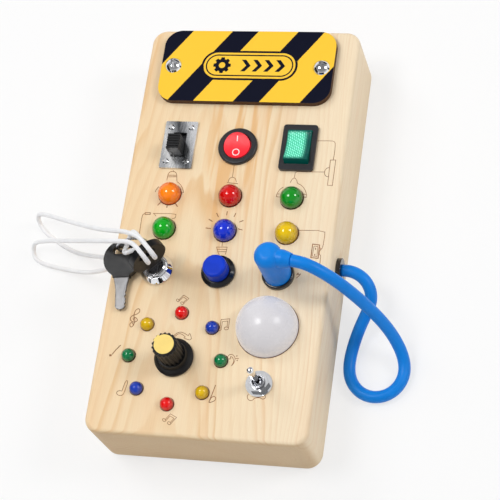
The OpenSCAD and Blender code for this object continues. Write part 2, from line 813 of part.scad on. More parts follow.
module wiring() {
    up = [0, 0, 1];
    away = [0, 1, 0];
    plug_z = board_z - socket_strip[2] / 2;
    upper = [0, board_y + strip_y + socket_strip[1] / 2, plug_z];
    lower = [0, board_y - strip_y - socket_strip[1] / 2, plug_z];
    step = [wire_pitch, 0, 0];
    lamp_back = ceiling_z - lamp_rim_t;
    color("firebrick") {
        wire(upper - 2 * step, away, [slide_x + 4, row_switch, face_z - slide_housing_h], up);
        wire(upper - step, away, [-4, row_switch, face_z - rocker_body_h], up);
        wire(upper + step, away, [5, tray_y - tray_l / 2, cover_t + bay_h / 2], away);
        wire(upper + 2 * step, away, [column - 4, row_switch, face_z - rocker_body_h], up);
        wire(lower - 3 * step, -away, [lock_x, row_plug + lock_body_d / 2, ceiling_z - nut_t - wire_drop],
            -away);
        wire(lower - 2 * step, -away, [small_lamp_place(0)[0], small_lamp_place(0)[1],
            lamp_back - wire_d], up);
        wire(lower - step, -away, [dial_x + dial_wire_in, dial_y, ceiling_z - dial_body_h], up);
        wire(lower, -away, [button_x + 4.6, row_plug, face_z - button_depth], up);
        wire(lower + step, -away, [toggle_x - 2, toggle_y, ceiling_z - toggle_body[2]], up);
        wire(lower + 2 * step, -away, [dome_x - dome_wire_in, dome_y,
            ceiling_z - dome_rim_t - dome_board_t], up);
        wire(lower + 3 * step, -away, [socket_x, row_plug, face_z - socket_depth], up);
        // The lamps beside the board and over it
        for (place = lamp_places) {
            if (place[0] == 0)
                translate([place[0], place[1], board_top_z])
                    cylinder(d = wire_d, h = lamp_back - board_top_z);
            else
                swept_tube([[sign(place[0]) * (board_w / 2 + wire_start), place[1], board_z + board_t / 2],
                    [sign(place[0]) * (board_w / 2 + 2.5), place[1], board_z + board_t / 2],
                    [place[0], place[1], lamp_back - 4], [place[0], place[1], lamp_back]], wire_d, 6);
        }
        // The small lamps share one ring of wire
        translate([dial_x, dial_y, lamp_back - wire_d / 2])
            rotate_extrude() translate([lamp_ring_r, 0]) circle(d = wire_d);
    }
}

// ---- Sign plate ----

module sign_plate() {
    color("gold")
    translate([sign_x, sign_y, face_z])
    difference() {
        rounded_plate(sign_w, sign_h, sign_t, sign_r);
        for (side = [-1, 1])
            translate([side * sign_screw_gap / 2, 0, -cut])
                cylinder(d = sign_shank_d + 2 * seat_gap, h = sign_t + 2 * cut);
    }
}

module sign_screws() {
    dome_r = (pow(sign_head_d / 2, 2) + pow(sign_head_h, 2)) / (2 * sign_head_h);
    color("silver")
    for (side = [-1, 1])
        translate([sign_x + side * sign_screw_gap / 2, sign_y, face_z + sign_t])
        difference() {
            rotate_extrude() {
                intersection() {
                    translate([0, sign_head_h - dome_r]) circle(dome_r);
                    square([sign_head_d, sign_head_h + cut]);
                }
                translate([0, -sign_screw_l]) square([sign_shank_d / 2, sign_screw_l]);
            }
            translate([0, 0, sign_head_h])
                for (turn = [20, 110]) rotate([0, 0, turn])
                    cube([cross_l, cross_w, 2 * sign_head_h - 1], center = true);
        }
}

// ---- Slide switch ----

module slide_switch_frame() {
    color("silver")
    translate([slide_x, row_switch, face_z])
    difference() {
        rounded_plate(slide_w, slide_l, slide_t, 0.6);
        translate([0, 0, -cut]) linear_extrude(slide_t + 2 * cut)
            square([slide_slot_w, slide_slot_l], center = true);
        for (sx = [-1, 1], sy = [-1, 1])
            translate([sx * rivet_x, sy * rivet_y, -cut])
                cylinder(d = rivet_d + 2 * thread_gap, h = slide_t + 2 * cut);
    }
}

module slide_switch_rivets() {
    color("silver")
    for (sx = [-1, 1], sy = [-1, 1])
        translate([slide_x + sx * rivet_x, row_switch + sy * rivet_y, face_z + slide_t])
            rotate_extrude() {
                translate([0, -rivet_l]) square([rivet_d / 2, rivet_l]);
                polygon([[0, 0], [rivet_head_d / 2, 0], [rivet_head_d / 2, rivet_head_h / 2],
                    [rivet_head_d / 3, rivet_head_h], [0, rivet_head_h]]);
            }
}

module slide_switch_housing() {
    color("black")
    translate([slide_x, row_switch, face_z])
    difference() {
        union() {
            translate([0, 0, -slide_housing_h]) linear_extrude(slide_housing_h)
                square([slide_housing_w, slide_housing_l], center = true);
            for (y = [-terminal_pitch, 0, terminal_pitch])
                translate([0, y, -slide_housing_h - terminal_l / 2])
                    cube([terminal_w, terminal_t, terminal_l], center = true);
        }
        translate([0, 0, -slide_pocket_h]) linear_extrude(slide_pocket_h + cut)
            square([slide_foot_w + 2 * slide_slot_gap, slide_foot_l + slide_travel + 2 * slide_slot_gap],
                center = true);
        for (sx = [-1, 1], sy = [-1, 1])
            translate([sx * rivet_x, sy * rivet_y, -rivet_l])
                cylinder(d = rivet_d + 2 * thread_gap, h = rivet_l + cut);
    }
}

module slide_switch_button() {
    top = slide_t + slider_h;
    color("black")
    translate([slide_x, slide_rest_y, face_z])
    difference() {
        union() {
            translate([0, 0, -slide_pocket_h]) linear_extrude(slide_foot_t)
                square([slide_foot_w, slide_foot_l], center = true);
            translate([0, 0, -slide_pocket_h]) linear_extrude(slide_pocket_h + top)
                square([slider_w, slider_l], center = true);
        }
        for (i = [-2 : 2])
            translate([0, i * groove_pitch, top])
                cube([slider_w + cut, groove_w, 2 * groove_w], center = true);
    }
}

// ---- Rocker switches ----

// What both rocker housings share: terminals under the body
module rocker_terminals() {
    for (y = [-terminal_pitch, 0, terminal_pitch])
        translate([0, y, -rocker_body_h - terminal_l / 2])
            cube([terminal_w, terminal_t, terminal_l], center = true);
}

module round_rocker_housing() {
    window_d = round_paddle_d + 2 * rocker_window_gap;
    color("black")
    translate([0, row_switch, face_z])
    difference() {
        union() {
            rotate_extrude() {
                square([round_rim_d / 2 - rim_h / 2, rim_h]);
                square([round_rim_d / 2, rim_h / 2]);
                translate([round_rim_d / 2 - rim_h / 2, rim_h / 2]) circle(rim_h / 2);
                translate([0, -rocker_body_h]) square([round_body_d / 2, rocker_body_h]);
            }
            rocker_terminals();
        }
        translate([0, 0, -rocker_down - 1.6]) cylinder(d = window_d, h = rocker_down + 1.6 + rim_h + cut);
        rotate([0, 90, 0])
            cylinder(d = rocker_pin_d + 2 * running_gap, h = window_d + 1.6, center = true);
    }
}

// A paddle's dished block, tilted to its rest side about the pivot
module dished(tilt) {
    rotate([tilt, 0, 0])
    difference() {
        children();
        translate([0, 0, rocker_up - 1.1 + rocker_dish_r])
            rotate([0, 90, 0]) cylinder(r = rocker_dish_r, h = 2 * round_rim_d, center = true, $fn = 96);
    }
}

module round_rocker_paddle() {
    color("red")
    translate([0, row_switch, rocker_pivot_z])
    dished(rocker_tilt) {
        translate([0, 0, -rocker_down]) cylinder(d = round_paddle_d, h = rocker_down + rocker_up);
        rotate([0, 90, 0])
            cylinder(d = rocker_pin_d, h = round_paddle_d + 2 * rocker_window_gap + 1.2, center = true);
    }
}

module lit_rocker_housing() {
    window_w = lit_paddle_w + 2 * rocker_side_gap;
    window_l = lit_paddle_l + 2 * rocker_window_gap;
    color("black")
    translate([column, row_switch, face_z])
    difference() {
        union() {
            rounded_plate(lit_rim_w, lit_rim_l, rim_h, lit_rim_r);
            translate([0, 0, -rocker_body_h]) linear_extrude(rocker_body_h)
                square([lit_body_w, lit_body_l], center = true);
            rocker_terminals();
        }
        translate([0, 0, -rocker_down - 1.6]) linear_extrude(rocker_down + 1.6 + rim_h + cut)
            square([window_w, window_l], center = true);
        rotate([0, 90, 0])
            cylinder(d = rocker_pin_d + 2 * running_gap, h = window_w + 1.6, center = true);
    }
}

module lit_rocker_paddle() {
    color("mediumseagreen")
    translate([column, row_switch, rocker_pivot_z])
    dished(-rocker_tilt) {
        translate([0, 0, -rocker_down]) linear_extrude(rocker_down + rocker_up)
            square([lit_paddle_w, lit_paddle_l], center = true);
        rotate([0, 90, 0])
            cylinder(d = rocker_pin_d, h = lit_paddle_w + 2 * rocker_side_gap + 1.2, center = true);
    }
}

// ---- Lamps ----

module large_lamp(i, tint) {
    color(tint) translate([lamp_places[i][0], lamp_places[i][1], ceiling_z]) lamp(lamp_d, lamp_rise);
}

module lamp_orange() { large_lamp(0, "orange"); }
module lamp_red() { large_lamp(1, "red"); }
module lamp_green_upper() { large_lamp(2, "green"); }
module lamp_green_lower() { large_lamp(3, "green"); }
module lamp_blue() { large_lamp(4, "blue"); }
module lamp_yellow() { large_lamp(5, "gold"); }

// Two lamps of one colour face each other across the dial
module lamp_pair(first, tint) {
    color(tint)
    for (i = [first, first + lamp_count / 2])
        translate([small_lamp_place(i)[0], small_lamp_place(i)[1], ceiling_z])
            lamp(small_lamp_d, lamp_rise / 2);
}

module small_lamps_red() { lamp_pair(0, "red"); }
module small_lamps_blue() { lamp_pair(1, "blue"); }
module small_lamps_green() { lamp_pair(2, "green"); }
module small_lamps_yellow() { lamp_pair(3, "gold"); }

module dome_lens() {
    inner_d = dome_d - 2 * dome_wall;
    color("white")
    translate([dome_x, dome_y, ceiling_z])
    difference() {
        rotate_extrude() {
            square([dome_d / 2, face_t + dome_rise]);
            translate([0, -dome_rim_t]) square([dome_d / 2 + dome_rim, dome_rim_t]);
            intersection() {
                translate([0, face_t + dome_rise]) circle(d = dome_d);
                translate([0, face_t + dome_rise - cut]) square([dome_d, dome_d]);
            }
        }
        rotate_extrude() {
            translate([0, -dome_rim_t - cut]) square([inner_d / 2, face_t + dome_rise + dome_rim_t + cut]);
            intersection() {
                translate([0, face_t + dome_rise]) circle(d = inner_d);
                translate([0, face_t + dome_rise - cut]) square([dome_d, dome_d]);
            }
        }
    }
}

module dome_lamp_board() {
    color("ivory")
    translate([dome_x, dome_y, ceiling_z - dome_rim_t - dome_board_t]) {
        cylinder(d = dome_d + 2 * dome_rim, h = dome_board_t);
        translate([-2.5, -2.5, dome_board_t]) cube([5, 5, 1.6]);
    }
}

// ---- Key lock ----

module lock_body() {
    color("silver")
    translate([lock_x, row_plug, face_z])
    difference() {
        rotate_extrude() {
            square([lock_flange_d / 2 - 0.8, lock_flange_h]);
            square([lock_flange_d / 2, lock_flange_h / 2]);
            translate([lock_flange_d / 2 - 0.8, lock_flange_h / 2]) circle(0.8);
            polygon([[0, 0], [lock_flange_d / 2 - 1, lock_flange_h], [lock_body_d / 2 - 0.6, lock_h],
                [0, lock_h]]);
            translate([0, -lock_depth]) square([lock_body_d / 2, lock_depth]);
        }
        translate([0, 0, -lock_depth - cut])
            cylinder(d = barrel_d + 2 * running_gap, h = lock_depth + lock_h + 2 * cut);
    }
}

module lock_barrel() {
    color("gainsboro")
    translate([lock_x, row_plug, lock_top_z])
    rotate([0, 0, key_rest_turn])
    difference() {
        translate([0, 0, -lock_h - lock_depth - cam_t])
            cylinder(d = barrel_d, h = lock_h + lock_depth + cam_t);
        translate([0, 0, -keyway_depth]) linear_extrude(keyway_depth + cut)
            square([blade_w + 2 * keyway_gap, blade_t + 2 * keyway_gap], center = true);
    }
}

module lock_cam() {
    color("silver")
    translate([lock_x, row_plug, face_z - lock_depth - 2 * cam_t])
        rotate([0, 0, key_rest_turn])
        linear_extrude(cam_t) {
            circle(d = barrel_d);
            translate([0, -barrel_d / 4]) square([cam_l, barrel_d / 2]);
        }
}

// A blade whose cuts run down both edges; its tip is at the origin and it points to -Z
module bitted_blade(l) {
    notch = 0.7;
    step = 1.9;
    cuts = floor((blade_l - 3) / step);
    rotate([90, 0, 0])
    linear_extrude(blade_t, center = true)
    difference() {
        polygon([[-blade_w / 2, 1.4], [-blade_w / 2 + 1.4, 0], [blade_w / 2 - 1.4, 0],
            [blade_w / 2, 1.4], [blade_w / 2, l], [-blade_w / 2, l]]);
        for (i = [0 : cuts - 1]) {
            depth = notch * (1 + (i * 2) % 3 / 2) / 2;
            translate([blade_w / 2, 2.8 + i * step]) rotate(45) square(2 * depth, center = true);
            translate([-blade_w / 2, 3.2 + i * step]) rotate(45) square(notch, center = true);
        }
    }
}

// The moulded grip with its cord slot, standing on the origin in the XZ plane
module grip_shape() {
    rotate([90, 0, 0])
    linear_extrude(grip_t, center = true)
    difference() {
        union() {
            translate([0, grip_d / 2]) circle(d = grip_d);
            translate([-blade_w / 2 - 1, -0.01]) square([blade_w + 2, grip_d / 3]);
        }
        translate([0, grip_d / 2 + grip_slot_up])
            rounded_outline(grip_slot_w, grip_slot_h, grip_slot_h / 2 - 0.1);
    }
}

module blade_pocket() {
    translate([0, 0, -cut]) linear_extrude(blade_in_grip + cut + thread_gap)
        square([blade_w + 2 * thread_gap, blade_t + 2 * thread_gap], center = true);
}

module key_blade() {
    color("silver")
    translate([lock_x, row_plug, lock_top_z - blade_l])
        rotate([0, 0, key_rest_turn]) bitted_blade(blade_l + blade_neck + blade_in_grip);
}

module key_grip() {
    color("black")
    translate([lock_x, row_plug, grip_bottom_z])
        rotate([0, 0, key_rest_turn])
        difference() {
            grip_shape();
            blade_pocket();
        }
}

// The spare key lies along -Y with its grip raised on the ring
module spare_place() {
    translate([spare_x, spare_y, spare_z]) rotate([0, 0, spare_turn])
        rotate([-90 + spare_tilt, 0, 0]) translate([0, 0, -grip_d / 2]) children();
}

module spare_key_blade() {
    color("silver")
    spare_place() translate([0, 0, -blade_l - blade_neck])
        bitted_blade(blade_l + blade_neck + blade_in_grip);
}

module spare_key_grip() {
    color("black")
    spare_place()
    difference() {
        grip_shape();
        blade_pocket();
    }
}

module key_ring() {
    color("silver")
    translate([ring_x, ring_y, ring_z]) rotate([90, 0, ring_turn])
        rotate_extrude() translate([ring_d / 2, 0]) circle(d = ring_wire);
}

// ---- Push button ----

module button_collar() {
    bore_d = button_cap_d + 2 * running_gap;
    color("black")
    translate([button_x, row_plug, face_z])
    difference() {
        rotate_extrude()
            polygon([[0, -button_depth], [button_body_d / 2, -button_depth], [button_body_d / 2, 0],
                [button_collar_d / 2, 0], [button_collar_d / 2, button_collar_h / 2],
                [button_cap_d / 2 + 0.8, button_collar_h], [0, button_collar_h]]);
        translate([0, 0, -button_depth + button_floor_t])
            cylinder(d = bore_d, h = button_depth + button_collar_h);
        translate([0, 0, -button_depth - cut])
            cylinder(d = button_stem_d + 2 * running_gap, h = button_floor_t + 2 * cut);
    }
}

module button_cap() {
    r = button_cap_d / 2;
    round_r = 1.2;
    stem_l = button_rise + button_depth + 0.3 + button_clip_t;
    color("royalblue")
    translate([button_x, row_plug, face_z])
    rotate_extrude() {
        translate([0, button_rise - button_roof]) square([r - round_r, button_roof]);
        translate([r - button_wall, -button_skirt / 2])
            square([button_wall, button_rise - round_r + button_skirt / 2]);
        translate([0, button_rise - button_roof]) square([r, button_roof - round_r]);
        intersection() {
            translate([r - round_r, button_rise - round_r]) circle(round_r);
            translate([0, button_rise - button_roof]) square([r, button_roof]);
        }
        translate([0, button_rise - stem_l]) square([button_stem_d / 2, stem_l]);
        translate([0, button_rise - stem_l]) square([button_clip_d / 2, button_clip_t]);
    }
}

module button_spring() {
    low = face_z - button_depth + button_floor_t + spring_wire / 2 + running_gap;
    high = face_z + button_rise - button_roof - spring_wire / 2 - spring_gap;
    color("silver")
    translate([button_x, row_plug, low])
        swept_tube(helix(spring_d, (high - low) / spring_turns, spring_turns, 12), spring_wire, 6);
}

// ---- Socket, plug and cable ----

module socket_body() {
    color("black")
    translate([socket_x, row_plug, face_z])
    difference() {
        rotate_extrude() {
            square([socket_collar_d / 2 - 0.8, socket_collar_h]);
            square([socket_collar_d / 2, socket_collar_h - 0.8]);
            translate([socket_collar_d / 2 - 0.8, socket_collar_h - 0.8]) circle(0.8);
            translate([0, -socket_depth]) square([socket_body_d / 2, socket_depth]);
        }
        translate([0, 0, socket_collar_h - socket_recess])
            cylinder(d = stem_d + 4 * running_gap, h = socket_recess + cut);
        translate([0, 0, -tip_l - 0.5])
            cylinder(d = tip_d + 2 * running_gap, h = tip_l + socket_collar_h + cut);
    }
}

module plug_boot() {
    round_z = stem_top_z - stem_round;
    color("dodgerblue")
    translate([socket_x, row_plug, 0])
    difference() {
        union() {
            rotate_extrude() {
                translate([0, stem_bottom_z]) square([stem_d / 2, round_z - stem_bottom_z]);
                translate([0, round_z]) square([stem_d / 2 - stem_round, stem_round]);
                intersection() {
                    translate([stem_d / 2 - stem_round, round_z]) circle(stem_round);
                    translate([0, round_z - cut]) square([stem_d, stem_d]);
                }
            }
            translate([0, 0, neck_z]) rotate([0, 90, neck_turn]) {
                cylinder(d = neck_d, h = neck_start);
                translate([0, 0, neck_start])
                    cylinder(d1 = neck_d, d2 = cable_d + 0.8, h = neck_l - neck_start);
            }
        }
        translate([0, 0, stem_bottom_z - cut])
            cylinder(d = tip_d + 2 * thread_gap, h = tip_in_boot + cut);
    }
}

module plug_tip() {
    color("silver")
    translate([socket_x, row_plug, stem_bottom_z - tip_l])
    difference() {
        cylinder(d = tip_d, h = tip_l + tip_in_boot);
        translate([0, 0, -cut]) cylinder(d = tip_d - 2 * tip_wall, h = tip_l);
    }
}

module cable() {
    color("dodgerblue") swept_tube(smooth(cable_route), cable_d, 12);
}

module cable_grommet() {
    color("black")
    translate([body_w / 2, grommet_y, grommet_z])
    rotate([0, 90, 0])
    rotate_extrude() {
        translate([0, 0]) square([grommet_d / 2, grommet_h]);
        translate([0, -side_wall]) square([grommet_neck_d / 2, side_wall]);
    }
}

module tether_bush() {
    color("gray")
    translate([-body_w / 2, bush_y, bush_z])
    rotate([0, -90, 0])
    rotate_extrude() {
        square([bush_d / 2, bush_h]);
        translate([0, -side_wall]) square([bush_neck_d / 2, side_wall]);
    }
}

module tether_cord() {
    color("white") swept_tube(smooth(tether_route), tether_d, 8);
}

// ---- Nuts behind and on the face ----

module panel_nuts() {
    back_z = ceiling_z - nut_t;
    color("silver") {
        translate([lock_x, row_plug, back_z]) hex_nut(lock_nut_af, lock_body_d + 2 * thread_gap, nut_t);
        translate([button_x, row_plug, back_z])
            hex_nut(button_nut_af, button_body_d + 2 * thread_gap, nut_t);
        translate([socket_x, row_plug, back_z])
            hex_nut(socket_nut_af, socket_body_d + 2 * thread_gap, nut_t);
        translate([dial_x, dial_y, face_z])
            hex_nut(dial_nut_af, dial_neck_d + 2 * thread_gap, dial_nut_t);
    }
}

// ---- Dial ----

module dial_control() {
    color("silver")
    translate([dial_x, dial_y, ceiling_z])
    difference() {
        rotate_extrude() {
            translate([0, -dial_body_h]) square([dial_body_d / 2, dial_body_h]);
            square([dial_neck_d / 2, face_t + dial_neck_rise]);
        }
        translate([0, 0, -dial_body_h + dial_shaft_floor - 0.2])
            cylinder(d = dial_shaft_d + 2 * running_gap, h = dial_body_h + face_t + dial_neck_rise + cut);
    }
}

// The shaft's D-shaped section, larger by gap all round
module shaft_section(gap) {
    difference() {
        circle(d = dial_shaft_d + 2 * gap);
        translate([-dial_shaft_d, dial_shaft_d / 2 - dial_flat + gap])
            square([2 * dial_shaft_d, dial_shaft_d]);
    }
}

module dial_shaft() {
    round_l = dial_body_h - dial_shaft_floor + face_t + dial_neck_rise;
    color("gainsboro")
    translate([dial_x, dial_y, ceiling_z - dial_body_h + dial_shaft_floor])
    rotate([0, 0, dial_rest_turn]) {
        cylinder(d = dial_shaft_d, h = round_l);
        linear_extrude(dial_shaft_l) shaft_section(0);
    }
}

// The grip's outline with its flutes
module fluted_outline(r) {
    difference() {
        circle(r);
        for (i = [0 : dial_flutes - 1])
            rotate(360 * (i + 0.5) / dial_flutes) translate([r + flute_r / 3, 0]) circle(flute_r);
    }
}

module dial_knob() {
    body_h = dial_h - dial_gap;
    skirt_r = dial_grip_d / 2 + 1;
    color("black")
    translate([dial_x, dial_y, face_z + dial_gap])
    rotate([0, 0, dial_rest_turn])
    difference() {
        union() {
            rotate_extrude() polygon([[0, 0], [dial_base_d / 2, 0],
                [dial_base_d / 2, dial_base_h / 2], [dial_base_d / 2 - dial_base_h / 2, dial_base_h],
                [skirt_r, dial_base_h + 0.4], [skirt_r - 0.4, dial_skirt_h], [0, dial_skirt_h]]);
            linear_extrude(body_h - 0.6) fluted_outline(dial_grip_d / 2);
            cylinder(r = dial_grip_d / 2 - 0.7, h = body_h);
        }
        translate([0, 0, -cut]) cylinder(d = dial_recess_d, h = dial_recess_h + cut);
        translate([0, 0, dial_recess_h]) linear_extrude(dial_bore_l) shaft_section(thread_gap);
        translate([0, 0, body_h - dial_cap_t]) cylinder(d = dial_cap_d + 2 * thread_gap, h = dial_h);
    }
}

// The yellow cap, with a raised pointer that runs out over the grip
module dial_pointer_cap() {
    color("khaki")
    translate([dial_x, dial_y, face_z + dial_h - dial_cap_t])
        rotate([0, 0, dial_rest_turn]) {
            cylinder(d = dial_cap_d, h = dial_cap_t + dial_cap_rise);
            translate([-dial_pointer_w / 2, 0, dial_cap_t])
                cube([dial_pointer_w, dial_grip_d / 2 - 0.7, dial_cap_rise]);
        }
}

// ---- Toggle switch ----

module toggle_body() {
    bore_bottom = toggle_pivot_z - ceiling_z - toggle_ball_d / 2 - toggle_tail;
    color("silver")
    translate([toggle_x, toggle_y, ceiling_z])
    difference() {
        union() {
            translate([0, 0, -toggle_body[2] / 2])
                cube(toggle_body, center = true);
            cylinder(d = toggle_neck_d, h = face_t + toggle_neck_rise);
            for (x = [-toggle_terminal_pitch, 0, toggle_terminal_pitch])
                translate([x, 0, -toggle_body[2] - terminal_l / 2])
                    cube([terminal_t, terminal_w / 2, terminal_l], center = true);
        }
        translate([0, 0, bore_bottom])
            cylinder(d = toggle_bore_d, h = face_t + toggle_neck_rise - bore_bottom + cut);
    }
}

module toggle_washer() {
    color("silver")
    translate([toggle_x, toggle_y, face_z])
        tube(toggle_washer_d, toggle_neck_d + 2 * seat_gap, toggle_washer_t);
}

module toggle_nut() {
    color("silver")
    translate([toggle_x, toggle_y, face_z + toggle_washer_t])
        hex_nut(toggle_nut_af, toggle_neck_d + 2 * thread_gap, toggle_nut_t);
}

module toggle_lever() {
    tip_up = face_z + toggle_h - toggle_pivot_z;
    color("silver")
    translate([toggle_x, toggle_y, toggle_pivot_z])
    rotate_extrude() {
        polygon([[0, -toggle_tail], [toggle_root_d / 2, -toggle_tail], [toggle_root_d / 2, 0],
            [toggle_root_d / 2, 3], [toggle_tip_d / 2, tip_up - toggle_tip_d / 2],
            [0, tip_up - toggle_tip_d / 2]]);
        intersection() {
            circle(d = toggle_ball_d);
            translate([0, -toggle_ball_d / 2]) square(toggle_ball_d);
        }
        intersection() {
            translate([0, tip_up - toggle_tip_d / 2]) circle(d = toggle_tip_d);
            translate([0, tip_up - toggle_tip_d / 2 - 0.2]) square(toggle_tip_d);
        }
    }
}

wooden_body();
back_cover();
wood_screws();
battery_door();
board_posts();
battery_tray();
battery_cells();
battery_contacts();
control_board();
circuit_parts();
wiring();
sign_plate();
sign_screws();
slide_switch_frame();
slide_switch_rivets();
slide_switch_housing();
slide_switch_button();
round_rocker_housing();
round_rocker_paddle();
lit_rocker_housing();
lit_rocker_paddle();
lamp_orange();
lamp_red();
lamp_green_upper();
lamp_green_lower();
lamp_blue();
lamp_yellow();
small_lamps_red();
small_lamps_blue();
small_lamps_green();
small_lamps_yellow();
dome_lens();
dome_lamp_board();
lock_body();
lock_barrel();
lock_cam();
key_blade();
key_grip();
key_ring();
spare_key_blade();
spare_key_grip();
button_collar();
button_cap();
button_spring();
socket_body();
panel_nuts();
plug_boot();
plug_tip();
cable();
cable_grommet();
tether_bush();
tether_cord();
dial_control();
dial_shaft();
dial_knob();
dial_pointer_cap();
toggle_body();
toggle_washer();
toggle_nut();
toggle_lever();
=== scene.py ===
"""Looks of the wooden busy board: camera, cords, materials, printed and burnt detail, light."""

import json
import math
import random

import bpy
from mathutils import Matrix, Vector

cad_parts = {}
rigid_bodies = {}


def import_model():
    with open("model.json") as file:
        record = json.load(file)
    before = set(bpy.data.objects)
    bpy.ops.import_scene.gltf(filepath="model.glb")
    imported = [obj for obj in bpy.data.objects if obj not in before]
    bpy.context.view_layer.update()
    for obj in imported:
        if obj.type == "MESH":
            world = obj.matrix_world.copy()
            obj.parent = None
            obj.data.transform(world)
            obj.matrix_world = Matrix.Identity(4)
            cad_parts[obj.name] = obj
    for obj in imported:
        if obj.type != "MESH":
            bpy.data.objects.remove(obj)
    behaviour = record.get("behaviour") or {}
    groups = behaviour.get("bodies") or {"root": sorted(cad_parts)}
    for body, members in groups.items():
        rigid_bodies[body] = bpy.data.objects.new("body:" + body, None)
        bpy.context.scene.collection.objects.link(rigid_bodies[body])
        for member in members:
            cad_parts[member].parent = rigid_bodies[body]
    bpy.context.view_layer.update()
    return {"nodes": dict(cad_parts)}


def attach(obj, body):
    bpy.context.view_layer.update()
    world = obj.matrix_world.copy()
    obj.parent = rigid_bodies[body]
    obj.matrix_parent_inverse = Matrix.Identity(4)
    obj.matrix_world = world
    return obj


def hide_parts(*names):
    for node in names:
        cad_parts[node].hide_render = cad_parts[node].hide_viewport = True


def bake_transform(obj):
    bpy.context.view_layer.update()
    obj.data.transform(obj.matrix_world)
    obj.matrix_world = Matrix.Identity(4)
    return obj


for old in list(bpy.data.objects):
    bpy.data.objects.remove(old)

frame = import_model()
scene = bpy.context.scene
nodes = frame["nodes"]

MM = 0.001
rng = random.Random(11)

# Heights above the board's back and places on its face, in millimetres, as the solids have them
FACE = 33.0
LAMP_TOP = 38.8
SMALL_LAMP_TOP = 36.4
PLATE_TOP = 36.0
SWITCH_ROW = 37.0
LAMP_ROWS = (13.6, -2.6)
COLUMNS = (-27.0, 0.0, 27.0)
SIGN_ROW = 75.0
DIAL = (-13.0, -60.5)
DIAL_RING = 20.0
DOME = (24.5, -45.0)
LOCK = (-27.0, -21.5, FACE)

# ---------------------------------------------------------------- camera

RIGHT = Vector((0.965027, 0.138686, -0.222461))
UP = Vector((-0.041328, 0.918474, 0.393316))
BACK = Vector((0.258872, -0.370366, 0.892084))
EYE = Vector((0.205245, -0.28697, 0.698284))
SENSOR = 36
LENS = 127.95

camera_data = bpy.data.cameras.new("camera")
camera_data.sensor_width = SENSOR
camera_data.lens = LENS
camera_data.clip_start = 0.01
camera_data.clip_end = 20
camera = bpy.data.objects.new("camera", camera_data)
camera.matrix_world = Matrix.Translation(EYE) @ Matrix((RIGHT, UP, BACK)).transposed().to_4x4()
scene.collection.objects.link(camera)
scene.camera = camera


# ---------------------------------------------------------------- node materials


def rgb(red, green, blue):
    """A colour given in screen values from 0 to 255."""
    def linear(value):
        value /= 255
        return value / 12.92 if value <= 0.04045 else ((value + 0.055) / 1.055) ** 2.4

    return (linear(red), linear(green), linear(blue), 1)


class Shader:
    """Builds one procedural material round a Principled shader. Lengths in its noises are in millimetres."""

    def __init__(self, name, **sockets):
        self.material = bpy.data.materials.new(name)
        self.material.use_nodes = True
        self.tree = self.material.node_tree
        self.bsdf = self.tree.nodes["Principled BSDF"]
        place = self.add("ShaderNodeTexCoord").outputs["Object"]
        self.place = self.vector("SCALE", place, Scale=1 / MM)
        for key, value in sockets.items():
            self.bsdf.inputs[key.replace("_", " ")].default_value = value

    def add(self, kind, **settings):
        node = self.tree.nodes.new(kind)
        for key, value in settings.items():
            setattr(node, key, value)
        return node

    def feed(self, socket, value):
        if isinstance(value, bpy.types.NodeSocket):
            self.tree.links.new(value, socket)
        else:
            socket.default_value = value

    def vector(self, operation, a, b=None, Scale=None):
        node = self.add("ShaderNodeVectorMath", operation=operation)
        self.feed(node.inputs[0], a)
        if b is not None:
            self.feed(node.inputs[1], b)
        if Scale is not None:
            node.inputs["Scale"].default_value = Scale
        return node.outputs["Value" if operation in ("LENGTH", "DISTANCE", "DOT_PRODUCT") else "Vector"]

    def math(self, operation, a, b=0.0, c=0.0):
        node = self.add("ShaderNodeMath", operation=operation)
        for socket, value in zip(node.inputs, (a, b, c)):
            self.feed(socket, value)
        return node.outputs[0]

    def axes(self, place=None):
        node = self.add("ShaderNodeSeparateXYZ")
        self.feed(node.inputs[0], self.place if place is None else place)
        return node.outputs

    def noise(self, size, detail=2.0, stretch=(1, 1, 1), distortion=0.0, shift=(0, 0, 0)):
        """Noise from 0 to 1 with features of about size millimetres, longer along an axis by its stretch."""
        node = self.add("ShaderNodeTexNoise")
        spot = self.vector("MULTIPLY", self.place, tuple(1 / (size * s) for s in stretch))
        spot = self.vector("ADD", spot, shift)
        self.feed(node.inputs["Vector"], spot)
        node.inputs["Scale"].default_value = 1
        node.inputs["Detail"].default_value = detail
        node.inputs["Distortion"].default_value = distortion
        return node.outputs["Fac"]

    def ramp(self, factor, stops):
        """Colours or grey levels at positions from 0 to 1."""
        node = self.add("ShaderNodeValToRGB")
        elements = node.color_ramp.elements
        while len(elements) < len(stops):
            elements.new(0.5)
        for element, (position, colour) in zip(elements, stops):
            element.position = position
            element.color = colour if hasattr(colour, "__len__") else (colour, colour, colour, 1)
        self.feed(node.inputs[0], factor)
        return node.outputs["Color"]

    def blend(self, factor, a, b):
        node = self.add("ShaderNodeMix", data_type="RGBA")
        self.feed(node.inputs[0], factor)
        self.feed(node.inputs[6], a)
        self.feed(node.inputs[7], b)
        return node.outputs[2]

    def spread(self, value, low, high, low_out=0.0, high_out=1.0, smooth=False):
        node = self.add("ShaderNodeMapRange", interpolation_type="SMOOTHSTEP" if smooth else "LINEAR")
        for socket, number in zip(node.inputs, (value, low, high, low_out, high_out)):
            self.feed(socket, number)
        return node.outputs[0]

    def colour(self, value):
        self.feed(self.bsdf.inputs["Base Color"], value)

    def rough(self, value):
        self.feed(self.bsdf.inputs["Roughness"], value)

    def bump(self, height, depth):
        """A bump as high as depth millimetres."""
        node = self.add("ShaderNodeBump")
        node.inputs["Strength"].default_value = 1
        node.inputs["Distance"].default_value = depth * MM
        self.feed(node.inputs["Height"], height)
        self.feed(self.bsdf.inputs["Normal"], node.outputs["Normal"])


def dim(colour, factor):
    return tuple(c * factor for c in colour[:3]) + (1,)


